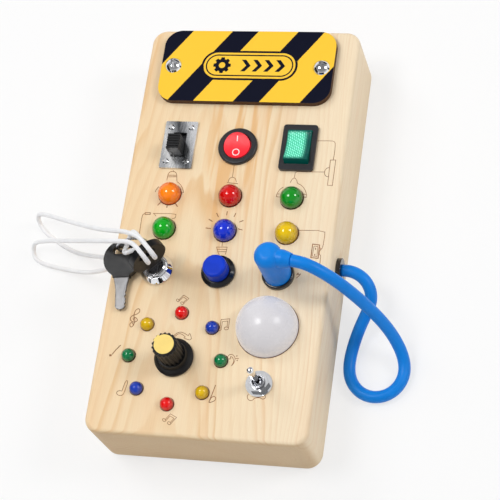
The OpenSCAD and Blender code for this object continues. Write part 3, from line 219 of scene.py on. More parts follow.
def moulded(name, colour, rough, grain=0.35, depth=0.006, mottle=0.10, wear=0.06, **sockets):
    """Moulded plastic or rubber: faint clouds of tone, fine grain, and roughness that varies."""
    s = Shader(name, **sockets)
    clouds = s.noise(5.5, 3)
    s.colour(s.ramp(clouds, [(0.3, dim(colour, 1 - mottle)), (0.7, dim(colour, 1 + mottle))]))
    s.rough(s.spread(s.noise(3.1, 4, shift=(7, 3, 1)), 0.3, 0.7, rough - wear, rough + wear))
    s.bump(s.noise(grain, 2, shift=(2, 9, 4)), depth)
    return s.material


def metal(name, colour, rough, brushed=(1, 1, 1), grain=0.5, depth=0.002, wear=0.04, **sockets):
    """Plated or plain metal with faint stains, fine scratches and uneven polish."""
    s = Shader(name, Metallic=1.0, **sockets)
    clouds = s.noise(3.5, 4, distortion=0.6)
    s.colour(s.ramp(clouds, [(0.28, dim(colour, 0.86)), (0.7, dim(colour, 1.04))]))
    fine = s.noise(grain, 3, stretch=brushed, shift=(3, 1, 8))
    s.rough(s.spread(fine, 0.25, 0.75, rough - wear, rough + wear))
    s.bump(fine, depth)
    return s.material


def pine(name, pale, late, deep, heart=(-16.0, -25.0), tilt=0.045, ring=1.55):
    """Softwood sawn along Y: rings round a leaning heart, fibres, and rougher ends, darker partly as end
    grain and partly as painted shade.
    """
    s = Shader(name, Specular_IOR_Level=0.35)
    x, y, z = s.axes()
    drift = s.noise(26, 2, stretch=(1, 7, 1))
    wander = s.noise(9, 2, stretch=(1, 9, 1), shift=(4, 0, 2))
    away_x = s.math("ADD", s.math("SUBTRACT", x, heart[0]), s.spread(drift, 0, 1, -13, 13))
    away_z = s.math("ADD", s.math("MULTIPLY_ADD", y, tilt, -heart[1]), z)
    radius = s.math("SQRT", s.math("ADD", s.math("MULTIPLY", away_x, away_x),
                                   s.math("MULTIPLY", away_z, away_z)))
    radius = s.math("ADD", radius, s.spread(wander, 0, 1, -1.1, 1.1))
    turn = s.math("DIVIDE", radius, ring)
    phase = s.math("FRACT", turn)
    year = s.add("ShaderNodeTexWhiteNoise", noise_dimensions="1D")
    s.feed(year.inputs["W"], s.math("FLOOR", turn))
    late_band = s.ramp(phase, [(0.0, 0.0), (0.45, 0.10), (0.82, 1.0), (0.93, 0.85), (1.0, 0.0)])
    weight = s.math("MULTIPLY", late_band, s.spread(year.outputs["Value"], 0, 1, 0.16, 0.80))
    broad = s.noise(15, 2, stretch=(1, 8, 1), shift=(8, 1, 3))
    weight = s.math("MULTIPLY", weight, s.spread(broad, 0.3, 0.7, 0.35, 1.25))
    tone = s.blend(weight, pale, late)
    streak = s.noise(7.5, 1, stretch=(1, 14, 1), shift=(1, 5, 9))
    tone = s.blend(s.spread(streak, 0.52, 0.86, 0, 0.50, smooth=True), tone, deep)
    figure = s.noise(3.4, 2, stretch=(1, 16, 1), shift=(2, 7, 1), distortion=0.4)
    from_middle = s.math("ABSOLUTE", s.math("SUBTRACT", x, 2))
    middle = s.math("MULTIPLY", s.spread(from_middle, 6, 26, 1, 0, smooth=True),
                    s.spread(y, -40, 34, 0.15, 1, smooth=True))
    figure = s.math("MULTIPLY", s.spread(figure, 0.48, 0.66, 0, 0.75, smooth=True), middle)
    tone = s.blend(figure, tone, rgb(232, 178, 112))
    tone = s.blend(s.spread(x, -8, 46, 0, 0.42, smooth=True), tone, rgb(250, 236, 212))
    tone = s.blend(s.spread(x, -47, -16, 0.26, 0, smooth=True), tone, rgb(240, 198, 146))
    fibre = s.noise(0.34, 3, stretch=(1, 34, 1))
    tone = s.blend(s.spread(fibre, 0.35, 0.75, 0, 0.16), tone, dim(late, 0.86))
    pore = s.noise(0.16, 1, stretch=(1, 18, 1), shift=(5, 5, 5))
    tone = s.blend(s.spread(pore, 0.70, 0.80, 0, 0.22), tone, dim(late, 0.62))
    # End faces are darker: partly the end grain's own colour, partly painted shade where less light falls on
    # them.
    end_face_grain_and_shade = s.math("ABSOLUTE", s.axes(s.add("ShaderNodeNewGeometry").outputs["Normal"])[1])
    speck = s.noise(0.22, 2, shift=(3, 3, 3))
    end_grain_and_shade_tone = s.blend(s.spread(speck, 0.3, 0.7, 0.25, 0.7), dim(pale, 0.86), dim(late, 0.82))
    end_grain_and_shade_tone = s.blend(s.math("MULTIPLY", weight, 0.55), end_grain_and_shade_tone, dim(deep, 0.72))
    tone = s.blend(s.spread(end_face_grain_and_shade, 0.45, 0.85, 0, 0.8, smooth=True), tone, end_grain_and_shade_tone)
    s.colour(tone)
    s.rough(s.spread(fibre, 0.2, 0.8, 0.50, 0.64))
    height = s.math("SUBTRACT", fibre, s.math("MULTIPLY", weight, 0.5))
    s.bump(height, 0.018)
    return s.material


def plywood(name):
    """Thin birch plywood: a quiet rotary-cut face, and plies in two tones on its edges."""
    s = Shader(name, Specular_IOR_Level=0.3)
    x, y, z = s.axes()
    swirl = s.noise(9, 3, stretch=(1, 5, 1), distortion=0.8)
    tone = s.ramp(swirl, [(0.32, rgb(214, 184, 142)), (0.5, rgb(226, 200, 160)), (0.66, rgb(205, 170, 124))])
    fleck = s.noise(0.3, 2, stretch=(1, 9, 1))
    tone = s.blend(s.spread(fleck, 0.55, 0.75, 0, 0.3), tone, rgb(150, 112, 74))
    ply = s.math("GREATER_THAN", s.math("FRACT", s.math("DIVIDE", z, 1.0)), 0.5)
    normal = s.add("ShaderNodeNewGeometry").outputs["Normal"]
    side = s.math("LESS_THAN", s.math("ABSOLUTE", s.axes(normal)[2]), 0.5)
    tone = s.blend(s.math("MULTIPLY", s.math("MULTIPLY", ply, side), 0.75), tone, rgb(140, 98, 62))
    s.colour(tone)
    s.rough(s.spread(fleck, 0.2, 0.8, 0.55, 0.72))
    s.bump(fleck, 0.02)
    return s.material


PAINTED_GLOW_SIDE = (0.30, -0.62, 0.72)  # the side of a lamp painted brighter, where light that went through it would come out


def lens(name, colour, deep, low, high, glow, rough=0.02):
    """A clear coloured plastic lamp with painted shade near its foot and on its far side, a painted glow
    where light that went through it comes out, an emitted glow that stands in for that light, and streaks and
    dust inside.
    """
    s = Shader(name, IOR=1.5, Coat_Weight=0.5, Coat_Roughness=0.04)
    z = s.axes()[2]
    # Painted shade: the lens is darker towards its foot.
    painted_shade_by_height = s.spread(z, low, high, -0.1, 0.62)
    flow = s.noise(1.5, 3, distortion=1.2)
    normal = s.add("ShaderNodeNewGeometry").outputs["Normal"]
    # Painted glow and shade: lighter on the side where passed light is painted, darker on the far side.
    facing = s.vector("DOT_PRODUCT", normal, PAINTED_GLOW_SIDE)
    painted_glow = s.spread(facing, 0.1, 1.0, -0.12, 0.42, smooth=True)
    mixed = s.math("ADD", s.math("ADD", painted_shade_by_height, painted_glow), s.spread(flow, 0.3, 0.7, -0.12, 0.12))
    tone = s.ramp(mixed, [(0.05, deep), (0.55, colour), (1.0, dim(colour, 1.35))])
    s.colour(tone)
    # The emission is a faint painted glow that stands in for light passing through the lens.
    s.feed(s.bsdf.inputs["Emission Color"], tone)
    s.bsdf.inputs["Emission Strength"].default_value = glow
    s.rough(s.spread(flow, 0.3, 0.7, rough, rough + 0.04))
    s.bump(s.noise(2.2, 1, shift=(6, 2, 2)), 0.006)
    return s.material


def chrome_with_painted_reflections(name):
    """Bright plating on the slide switch's frame: broad light and dark bands across it are painted
    reflections, waved by the fine streaks of its brushed face.
    """
    s = Shader(name, Metallic=1.0)
    x, y, z = s.axes()
    streak = s.noise(0.5, 3, stretch=(1, 12, 1), distortion=0.3)
    across = s.math("ADD", s.math("MULTIPLY_ADD", y, 0.30, -0.30 * SWITCH_ROW), s.math("ADD", x, -COLUMNS[0]))
    across = s.math("ADD", across, s.spread(streak, 0.3, 0.7, -1.2, 1.2))
    # Painted reflections: bands of white and dark grey across the frame.
    tone = s.ramp(s.spread(across, -10, 10, 0, 1),
                  [(0.10, rgb(200, 201, 204)), (0.26, rgb(255, 255, 255)), (0.46, rgb(176, 178, 182)),
                   (0.60, rgb(86, 88, 92)), (0.72, rgb(170, 172, 176)), (0.88, rgb(250, 251, 254))])
    s.colour(tone)
    s.rough(s.spread(streak, 0.3, 0.7, 0.16, 0.32))
    s.bump(streak, 0.004)
    return s.material


def emitting(name, colour, strength):
    material = bpy.data.materials.new(name)
    material.use_nodes = True
    tree = material.node_tree
    tree.nodes.clear()
    glow = tree.nodes.new("ShaderNodeEmission")
    glow.inputs[0].default_value = colour
    glow.inputs[1].default_value = strength
    tree.links.new(glow.outputs[0], tree.nodes.new("ShaderNodeOutputMaterial").inputs[0])
    return material


WOOD = pine("pine", rgb(246, 223, 186), rgb(226, 180, 122), rgb(238, 190, 138))
PLY = plywood("plywood")
SCREW = metal("screw_steel", rgb(222, 222, 224), 0.14)
CHROME = metal("bright_chrome", rgb(236, 237, 240), 0.07, depth=0.001, wear=0.03)
SATIN = metal("satin_steel", rgb(196, 197, 202), 0.27, brushed=(1, 12, 1), wear=0.06)
KEY_STEEL = metal("key_steel", rgb(128, 127, 128), 0.42, brushed=(1, 9, 1), wear=0.07)
BLACK = moulded("black_plastic", rgb(38, 38, 42), 0.36, Specular_IOR_Level=0.5)
BLACK_DARK = moulded("black_slider", rgb(20, 20, 22), 0.30)
BLACK_GLOSS = moulded("black_gloss", rgb(26, 26, 30), 0.20, Coat_Weight=0.3, Coat_Roughness=0.1)
KNOB = moulded("knob_black", rgb(22, 21, 22), 0.44, grain=0.25, depth=0.01, Specular_IOR_Level=0.3)
GRIP = moulded("grip_black", rgb(17, 17, 19), 0.36, grain=0.3, depth=0.012, Specular_IOR_Level=0.3)
# The red paddle's faint emission is a painted glow, as this switch holds no lamp.
RED_PADDLE = moulded("red_plastic", rgb(238, 26, 44), 0.38, depth=0.003, Specular_IOR_Level=0.4,
                     Emission_Color=rgb(255, 50, 60), Emission_Strength=0.16)
BLUE_CAP = moulded("blue_plastic", rgb(3, 58, 204), 0.36, depth=0.004, Specular_IOR_Level=0.22)
# The blue rubber's faint emission is a painted glow that brightens the plug and cable.
BLUE_RUBBER = moulded("blue_rubber", rgb(0, 128, 222), 0.40, grain=0.6, depth=0.012, mottle=0.05,
                      Specular_IOR_Level=0.28, Emission_Color=rgb(0, 110, 220), Emission_Strength=0.06)
CREAM = moulded("cream_plastic", rgb(250, 218, 118), 0.36, mottle=0.05)
GREY = moulded("grey_plastic", rgb(150, 152, 156), 0.42)
# The frosted dome's emission is painted light that evens out its shading.
FROSTED = moulded("frosted_white", rgb(178, 176, 179), 0.27, grain=0.8, depth=0.003, mottle=0.02,
                  Emission_Color=rgb(250, 247, 250), Emission_Strength=0.30)
CIRCUIT = moulded("circuit_green", rgb(24, 104, 62), 0.30)
CHIP = moulded("chip_black", rgb(28, 28, 30), 0.5)
WIRE_RED = moulded("wire_red", rgb(196, 30, 32), 0.35)
CELL = moulded("cell_wrap", rgb(176, 134, 62), 0.28, Metallic=0.4)
BURNT = moulded("burnt_line", rgb(150, 100, 62), 0.85, grain=0.2, depth=0.03, mottle=0.35)
# The rims carry burn and, where they widen towards the lower right, painted shadow.
RIM_BURNT_AND_SHADED = moulded("rim_burnt_and_shaded", rgb(92, 52, 28), 0.85, grain=0.3, depth=0.03, mottle=0.4)
NAVY = rgb(14, 17, 36)
SIGN_YELLOW = rgb(255, 205, 62)
PRINT_DARK = moulded("print_navy", NAVY, 0.5, mottle=0.06, Specular_IOR_Level=0.1)
PRINT_YELLOW = moulded("print_yellow", SIGN_YELLOW, 0.42, mottle=0.03, Specular_IOR_Level=0.2)
PRINT_WHITE = moulded("print_white", rgb(255, 240, 238), 0.4, mottle=0.03)

# Each lamp's colour, its deeper colour of painted shade at the foot, and its glow, a painted stand-in for
# light passing through it
LARGE_LAMPS = {
    "lamp_orange": (rgb(244, 124, 14), rgb(204, 78, 4), 0.10),
    "lamp_red": (rgb(200, 4, 2), rgb(128, 0, 0), 0.05),
    "lamp_green_upper": (rgb(4, 132, 24), rgb(0, 66, 10), 0.05),
    "lamp_green_lower": (rgb(4, 156, 24), rgb(0, 92, 10), 0.06),
    "lamp_blue": (rgb(16, 44, 190), rgb(6, 16, 112), 0.06),
    "lamp_yellow": (rgb(216, 178, 0), rgb(164, 124, 0), 0.06),
}
SMALL_LAMPS = {
    "small_lamps_red": (rgb(216, 10, 8), rgb(146, 0, 2), 0.06),
    "small_lamps_blue": (rgb(18, 54, 164), rgb(4, 22, 92), 0.05),
    "small_lamps_green": (rgb(0, 112, 62), rgb(0, 58, 30), 0.05),
    "small_lamps_yellow": (rgb(206, 166, 4), rgb(150, 112, 0), 0.06),
}
LAMPS = {name: lens(name, colour, deep, FACE, LAMP_TOP, glow)
         for name, (colour, deep, glow) in LARGE_LAMPS.items()}
LAMPS |= {name: lens(name.replace("lamps_", ""), colour, deep, FACE, SMALL_LAMP_TOP, glow)
          for name, (colour, deep, glow) in SMALL_LAMPS.items()}

STRIPE_SLOPE = -0.713
STRIPE_PITCH = 29.9
STRIPE_START = 70.2
YELLOW_SHARE = 0.605
STRIPE_BLUR = 0.002


def sign_print():
    """Slanting hazard stripes on the sign plate's top, and bare brown fibreboard round its edge."""
    s = Shader("sign_paint", Specular_IOR_Level=0.1)
    x, y, z = s.axes()
    across = s.math("MULTIPLY_ADD", s.math("SUBTRACT", y, SIGN_ROW), STRIPE_SLOPE, x)
    place = s.math("FRACT", s.math("DIVIDE", s.math("ADD", across, STRIPE_START), STRIPE_PITCH))
    fuzz = s.spread(s.noise(0.5, 1), 0.3, 0.7, -STRIPE_BLUR, STRIPE_BLUR)
    place = s.math("ADD", place, fuzz)
    yellow = s.spread(place, YELLOW_SHARE - STRIPE_BLUR, YELLOW_SHARE + STRIPE_BLUR, 1, 0)
    edge = s.spread(place, STRIPE_BLUR, 0.0, 0, 1)
    yellow = s.math("SUBTRACT", yellow, edge)
    tone = s.blend(yellow, NAVY, SIGN_YELLOW)
    board = s.ramp(s.noise(0.35, 3), [(0.3, rgb(58, 38, 26)), (0.7, rgb(104, 72, 48))])
    upward = s.axes(s.add("ShaderNodeNewGeometry").outputs["Normal"])[2]
    tone = s.blend(s.math("GREATER_THAN", upward, 0.6), board, tone)
    s.colour(tone)
    s.rough(s.spread(s.noise(2.0, 3), 0.3, 0.7, 0.36, 0.46))
    s.bump(s.noise(0.4, 2), 0.006)
    return s.material


DASH_ACROSS = 0.85
DASH_ALONG = 1.3
DASH_SLIP = 0.37  # how far each column of dashes is shifted from the last, in dashes


def glowing_window():
    """The lit switch's clear green paddle, with the broken upright lines of its inner lens."""
    s = Shader("green_clear", IOR=1.5)
    x, y, z = s.axes()
    u = s.math("SUBTRACT", x, COLUMNS[2])
    v = s.math("SUBTRACT", y, SWITCH_ROW)
    columns = s.math("ABSOLUTE", s.math("SUBTRACT", s.math("FRACT", s.math("DIVIDE", u, DASH_ACROSS)), 0.5))
    step = s.math("MULTIPLY", s.math("FLOOR", s.math("DIVIDE", u, DASH_ACROSS)), DASH_SLIP)
    along = s.math("FRACT", s.math("ADD", s.math("DIVIDE", v, DASH_ALONG), step))
    rows = s.math("ABSOLUTE", s.math("SUBTRACT", along, 0.5))
    dash = s.math("MULTIPLY", s.spread(columns, 0.16, 0.34, 1, 0.15), s.spread(rows, 0.24, 0.42, 1, 0.25))
    from_left = s.math("ABSOLUTE", s.math("ADD", u, 1.0))
    from_top = s.math("ABSOLUTE", s.math("SUBTRACT", v, 0.4))
    middle = s.math("MULTIPLY", s.spread(from_left, 2.4, 5.2, 1, 0, smooth=True),
                    s.spread(from_top, 5.4, 7.4, 1, 0, smooth=True))
    patch = s.spread(s.noise(1.4, 3), 0.3, 0.7, 0.55, 1.1)
    light = s.math("MULTIPLY", s.math("MULTIPLY", dash, middle), patch)
    tone = s.blend(middle, rgb(0, 74, 66), rgb(22, 176, 130))
    tone = s.blend(light, tone, rgb(156, 246, 224))
    s.colour(tone)
    s.feed(s.bsdf.inputs["Emission Color"], tone)
    s.bsdf.inputs["Emission Strength"].default_value = 0.36
    s.rough(s.spread(s.noise(1.0, 2), 0.3, 0.7, 0.08, 0.18))
    s.bump(dash, 0.03)
    return s.material


FINISH = {
    "wooden_body": WOOD, "board_posts": WOOD, "back_cover": PLY, "battery_door": PLY,
    "wood_screws": SCREW, "battery_tray": BLACK, "battery_cells": CELL, "battery_contacts": SATIN,
    "control_board": CIRCUIT, "circuit_parts": CHIP, "wiring": WIRE_RED, "sign_plate": sign_print(),
    "sign_screws": CHROME, "slide_switch_frame": chrome_with_painted_reflections("frame_chrome"), "slide_switch_rivets": CHROME,
    "slide_switch_housing": BLACK, "slide_switch_button": BLACK_DARK, "round_rocker_housing": BLACK,
    "round_rocker_paddle": RED_PADDLE, "lit_rocker_housing": BLACK, "lit_rocker_paddle": glowing_window(),
    "dome_lens": FROSTED, "dome_lamp_board": CIRCUIT, "lock_body": CHROME, "lock_barrel": SATIN,
    "lock_cam": SATIN, "key_blade": KEY_STEEL, "key_grip": GRIP, "key_ring": SATIN,
    "spare_key_blade": KEY_STEEL, "spare_key_grip": GRIP, "button_collar": BLACK_GLOSS,
    "button_cap": BLUE_CAP, "button_spring": SATIN, "socket_body": BLACK_GLOSS, "panel_nuts": SATIN,
    "plug_boot": BLUE_RUBBER, "plug_tip": SATIN, "cable_grommet": BLACK_GLOSS, "tether_bush": GREY,
    "dial_control": SATIN, "dial_shaft": SATIN, "dial_knob": KNOB, "dial_pointer_cap": CREAM,
    "toggle_body": SATIN, "toggle_washer": CHROME, "toggle_nut": CHROME, "toggle_lever": CHROME,
    **LAMPS,
}
for name, finish in FINISH.items():
    node = nodes[name]
    if node.material_slots:
        for place in node.material_slots:
            place.material = finish
    else:
        node.data.materials.append(finish)


# ---------------------------------------------------------------- making pieces


def piece(name, points, faces, body, slot, finish, smooth=True):
    """A mesh piece from points in millimetres."""
    mesh = bpy.data.meshes.new(name)
    mesh.from_pydata([Vector(p) * MM for p in points], [], faces)
    mesh.validate()
    mesh.materials.append(finish)
    for face in mesh.polygons:
        face.use_smooth = smooth
    made = bpy.data.objects.new(name, mesh)
    scene.collection.objects.link(made)
    if body:
        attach(made, body)
    return made


def spline(points, steps=8):
    """A uniform cubic B-spline from the first of the points to the last, leaving along the first two."""
    knots = [Vector(p) for p in points]
    knots = [2 * knots[0] - knots[1]] + knots + [2 * knots[-1] - knots[-2]]
    line = []
    for a, b, c, d in zip(knots, knots[1:], knots[2:], knots[3:]):
        for k in range(steps):
            t = k / steps
            line.append(((1 - t) ** 3 * a + (3 * t ** 3 - 6 * t ** 2 + 4) * b
                         + (-3 * t ** 3 + 3 * t ** 2 + 3 * t + 1) * c + t ** 3 * d) / 6)
    line.append(knots[-2])
    return line


def sweep(line, radius, sides, relief=None):
    """Points and faces of a closed tube along a line; relief(turn, run) adds to its radius."""
    points, faces = [], []
    side = Vector((0, 0, 1))
    run = 0.0
    for i, spot in enumerate(line):
        along = (line[min(i + 1, len(line) - 1)] - line[max(i - 1, 0)]).normalized()
        side = (side - side.dot(along) * along).normalized()
        over = along.cross(side)
        run += (spot - line[i - 1]).length if i else 0.0
        for k in range(sides):
            turn = 2 * math.pi * k / sides
            r = radius + (relief(turn, run) if relief else 0)
            points.append(spot + r * (math.cos(turn) * side + math.sin(turn) * over))
    for i in range(len(line) - 1):
        for k in range(sides):
            a, b = i * sides + k, i * sides + (k + 1) % sides
            faces.append((a, b, b + sides, a + sides))
    faces.append(tuple(range(sides - 1, -1, -1)))
    faces.append(tuple((len(line) - 1) * sides + k for k in range(sides)))
    return points, faces


# ---------------------------------------------------------------- cords

CABLE = [
    (35.7046, -22.8639, 53.1), (39.6657, -23.4206, 53.1), (44.5, -24.6, 51.8), (52, -27, 46.6),
    (59, -29.6, 37.6), (65.5, -32.4, 26.5), (71.3, -36, 15.8), (75.6, -41.2, 7.4), (78, -47.6, 3),
    (77.4, -54.6, 2.6), (73, -60.6, 2.7), (65.8, -62.8, 2.7), (58.9, -60.4, 2.7), (54.4, -54.2, 2.6),
    (53.8, -47, 2.8), (55, -40, 4), (57.2, -33.6, 6.8), (60, -28.3, 10), (62.5, -23.3, 13),
    (61.7, -18.4, 15.8), (58.4, -14.5, 17.9), (53.5, -12.5, 19), (49.5, -12.5, 19)]
TETHER = [
    (-48.7, -12.2, 17), (-52.7, -12.2, 17), (-60, -8.8, 13.6), (-67.5, -6.6, 8), (-75.5, -3.8, 3.2),
    (-83, -0.2, 1.1), (-89, 3.6, 1.1), (-94, 6.6, 1.1), (-97.2, 10.4, 2.2), (-97.3, 12.8, 6.6),
    (-93.2, 11.6, 11.4), (-86.6, 8.6, 16), (-78, 4.4, 22), (-66.5, -1.4, 31.4), (-53, -8.8, 44.6),
    (-43, -13, 53.2), (-35, -15, 57.8), (-27.8, -18.1, 60.4), (-24.7, -21.3, 61),
    (-21.6, -24.4, 59.5), (-20.7, -25.3, 55.5), (-22.2, -23.8, 51.9), (-25.7, -20.2, 51.5),
    (-28.7, -17.3, 52.2), (-31.8, -13.4, 50.6), (-35.4, -10.3, 48), (-37.8, -10.9, 43.5),
    (-39, -14.8, 41.7), (-39.2, -19, 44), (-36.2, -20.8, 48), (-31.4, -20, 51.7),
    (-28.1, -22.7, 51.6), (-24.7, -26.3, 52), (-23.2, -27.8, 55.6), (-24.1, -26.9, 59.5),
    (-27.2, -23.8, 61), (-30.4, -20.7, 60.4), (-38, -19.2, 57), (-47, -16.6, 50), (-60, -11.6, 37.4),
    (-74, -6, 23), (-84.5, -2.4, 13.8), (-92.4, -0.9, 8.9), (-96.7, -0.7, 5.7), (-97.4, -3.2, 2.5),
    (-96.5, -6.8, 1.2), (-91.1, -9, 1), (-84, -10.4, 1.3), (-76, -12.6, 4.2), (-68, -14.8, 8.6),
    (-60, -16, 13.4), (-52.7, -14.8, 17), (-48.7, -14.8, 17)]
CORD_WHITE = moulded("cord_white", rgb(244, 244, 246), 0.55, grain=0.18, depth=0.03, mottle=0.04,
                     Sheen_Weight=0.3)

cable_line = spline(CABLE)
cable_line.reverse()
points, faces = sweep(cable_line, 2.6, 24)
cable = piece("cable_skin", points, faces, None, "blue_rubber", BLUE_RUBBER)
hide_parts("cable")
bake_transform(cable)


def braid(turn, run):
    """Two sets of strands crossing round the tether."""
    one = math.sin(4 * turn + 4.4 * run)
    two = math.sin(4 * turn - 4.4 * run)
    return 0.045 * max(one, two) - 0.03


tether_line = spline(TETHER, 24)
points, faces = sweep(tether_line, 1.0, 16, braid)
tether = piece("tether_braid", points, faces, None, "white_cord", CORD_WHITE)
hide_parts("tether_cord")
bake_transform(tether)


# ---------------------------------------------------------------- button spring

SPRING_WIRE = 0.35  # half the wire's thickness
SPRING_RADIUS = 3.0
SPRING_TURNS = 5
SPRING_STEPS = 24  # points to a turn
solid_spring = nodes["button_spring"]
corners = [solid_spring.matrix_world @ Vector(corner) / MM for corner in solid_spring.bound_box]
spring_low = min(corner.z for corner in corners) + SPRING_WIRE
spring_high = max(corner.z for corner in corners) - SPRING_WIRE
spring_x = (min(corner.x for corner in corners) + max(corner.x for corner in corners)) / 2
spring_y = (min(corner.y for corner in corners) + max(corner.y for corner in corners)) / 2
coil = []
for k in range(SPRING_STEPS * SPRING_TURNS + 1):
    turn = 2 * math.pi * k / SPRING_STEPS
    coil.append(Vector((spring_x + SPRING_RADIUS * math.cos(turn), spring_y + SPRING_RADIUS * math.sin(turn),
                        spring_low + (spring_high - spring_low) * k / (SPRING_STEPS * SPRING_TURNS))))
points, faces = sweep(coil, SPRING_WIRE, 12)
spring = piece("spring_coil", points, faces, None, "satin_steel", SATIN)
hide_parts("button_spring")
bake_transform(spring)

# ---------------------------------------------------------------- lock and spare key


def lathe(profile, centre, sides=96):
    """A turned solid about a line along Z through centre, from (radius, height) pairs round its section."""
    points, faces = [], []
    for k in range(sides):
        turn = 2 * math.pi * k / sides
        points += [(centre[0] + r * math.cos(turn), centre[1] + r * math.sin(turn), centre[2] + h)
                   for r, h in profile]
    n = len(profile)
    for k in range(sides):
        a, b = k * n, (k + 1) % sides * n
        for i in range(n):
            j = (i + 1) % n
            faces.append((a + i, b + i, b + j, a + j))
    return points, faces


def arc(cx, cy, r, start, end, steps=8):
    """Points (radius, height) on an arc of a profile, angles in degrees."""
    return [(cx + r * math.cos(math.radians(start + (end - start) * k / steps)),
             cy + r * math.sin(math.radians(start + (end - start) * k / steps))) for k in range(steps + 1)]


bezel = [(3.88, -14.9), (5.88, -14.9), (5.88, 0.0)]
bezel += arc(6.70, 0.55, 0.55, -90, 36)
bezel += [(6.95, 1.15), (6.2, 2.17), (5.55, 3.05)] + arc(5.36, 2.94, 0.22, 36, 90, 4)
bezel += [(5.10, 3.20), (4.98, 4.42)] + arc(4.82, 4.42, 0.16, 0, 90, 4)
for r in (4.70, 4.38):
    bezel += [(r, 4.58), (r - 0.05, 4.46), (r - 0.15, 4.46), (r - 0.20, 4.58)]
bezel += [(3.98, 4.58), (3.88, 4.48)]
points, faces = lathe(bezel, LOCK)
lock_skin = piece("lock_bezel", points, faces, "board", "bright_chrome", CHROME)
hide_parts("lock_body")


SPARE_SLOT = (-41.6, -19.3, 36.9)  # the middle of the slot that hangs on the ring
SPARE_DROP = 8.0  # from the slot to the top of the blade
SPARE_LEAN = math.radians(-90 + 6)
SPARE_TURN = math.radians(5)


def spare_place(x, y, z):
    """From the spare key's own axes, tip at -Z, to its place on the board."""
    z -= SPARE_DROP
    c, d = math.cos(SPARE_LEAN), math.sin(SPARE_LEAN)
    y, z = y * c - z * d, y * d + z * c
    c, d = math.cos(SPARE_TURN), math.sin(SPARE_TURN)
    x, y = x * c - y * d, x * d + y * c
    return (x + SPARE_SLOT[0], y + SPARE_SLOT[1], z + SPARE_SLOT[2])


def key_outline():
    """One blade: broad shoulder under the grip, a taper, cuts on both edges and a rounded tip."""
    right = [(3.3, 0.0), (3.3, -0.6), (2.7, -3.2), (2.35, -5.2)]
    for k, depth in enumerate((0.42, 0.62, 0.30, 0.55)):
        top = -5.9 - 1.75 * k
        right += [(2.3, top), (2.3 - depth, top - 0.55), (2.3 - depth, top - 0.85), (2.25, top - 1.35)]
    right += [(2.1, -12.9), (1.5, -13.6), (0.7, -13.95)]
    left = [(-x, z) for x, z in right if z > -5.3 or z < -12.8]
    return right + left[::-1]


HALF_BLADE = 0.62
EDGE_SHARE = 0.86  # how much of the blade's thickness is left at its rounded edges
outline = key_outline()
points = [spare_place(x, side * HALF_BLADE * EDGE_SHARE, z) for side in (1, -1) for x, z in outline]
inner = [(x * 0.93, z if z > -0.1 else z * 0.995 + 0.04) for x, z in outline]
points += [spare_place(x, side * HALF_BLADE, z) for side in (1, -1) for x, z in inner]
n = len(outline)
faces = [tuple(2 * n + k for k in range(n)), tuple(4 * n - 1 - k for k in range(n))]
for k in range(n):
    m = (k + 1) % n
    faces += [(k, n + k, n + m, m), (2 * n + k, k, m, 2 * n + m), (3 * n + k, 3 * n + m, n + m, n + k)]
blade = piece("spare_blade", points, faces, "spare_key", "satin_steel", KEY_STEEL, smooth=False)
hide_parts("spare_key_blade")

# ---------------------------------------------------------------- burnt lines, and burnt rims broadened by painted shadow


def eased(line):
    """A line with each of its corners cut once."""
    cut = [line[0]]
    for a, b in zip(line, line[1:]):
        cut += [a * 0.75 + b * 0.25, a * 0.25 + b * 0.75]
    cut.append(line[-1])
    return cut


def ribbon(line, width, top, bottom, closed=False):
    """A flat strip with a square section along a line of points in a plane of constant z."""
    points, faces = [], []
    count = len(line)
    for i, spot in enumerate(line):
        before = line[i - 1] if i or closed else spot
        after = line[(i + 1) % count] if i < count - 1 or closed else spot
        one = (spot - before).normalized() if (spot - before).length > 1e-9 else None
        two = (after - spot).normalized() if (after - spot).length > 1e-9 else None
        along = ((one or two) + (two or one)).normalized()
        reach = 1 / max(0.6, along.dot(one or two))
        side = Vector((-along.y, along.x)) * width / 2 * reach
        for x, y in (spot + side, spot - side):
            points += [(x, y, top), (x, y, bottom)]
    for i in range(count if closed else count - 1):
        a, b = 4 * i, 4 * ((i + 1) % count)
        faces += [(a, a + 2, b + 2, b), (a + 1, b + 1, b + 3, a + 3), (a, b, b + 1, a + 1),
                  (a + 2, a + 3, b + 3, b + 2)]
    if not closed:
        z = 4 * (count - 1)
        faces += [(0, 1, 3, 2), (z, z + 2, z + 3, z + 1)]
    return points, faces


def merged(parts):
    points, faces = [], []
    for some, sides in parts:
        base = len(points)
        points += some
        faces += [tuple(base + i for i in face) for face in sides]
    return points, faces


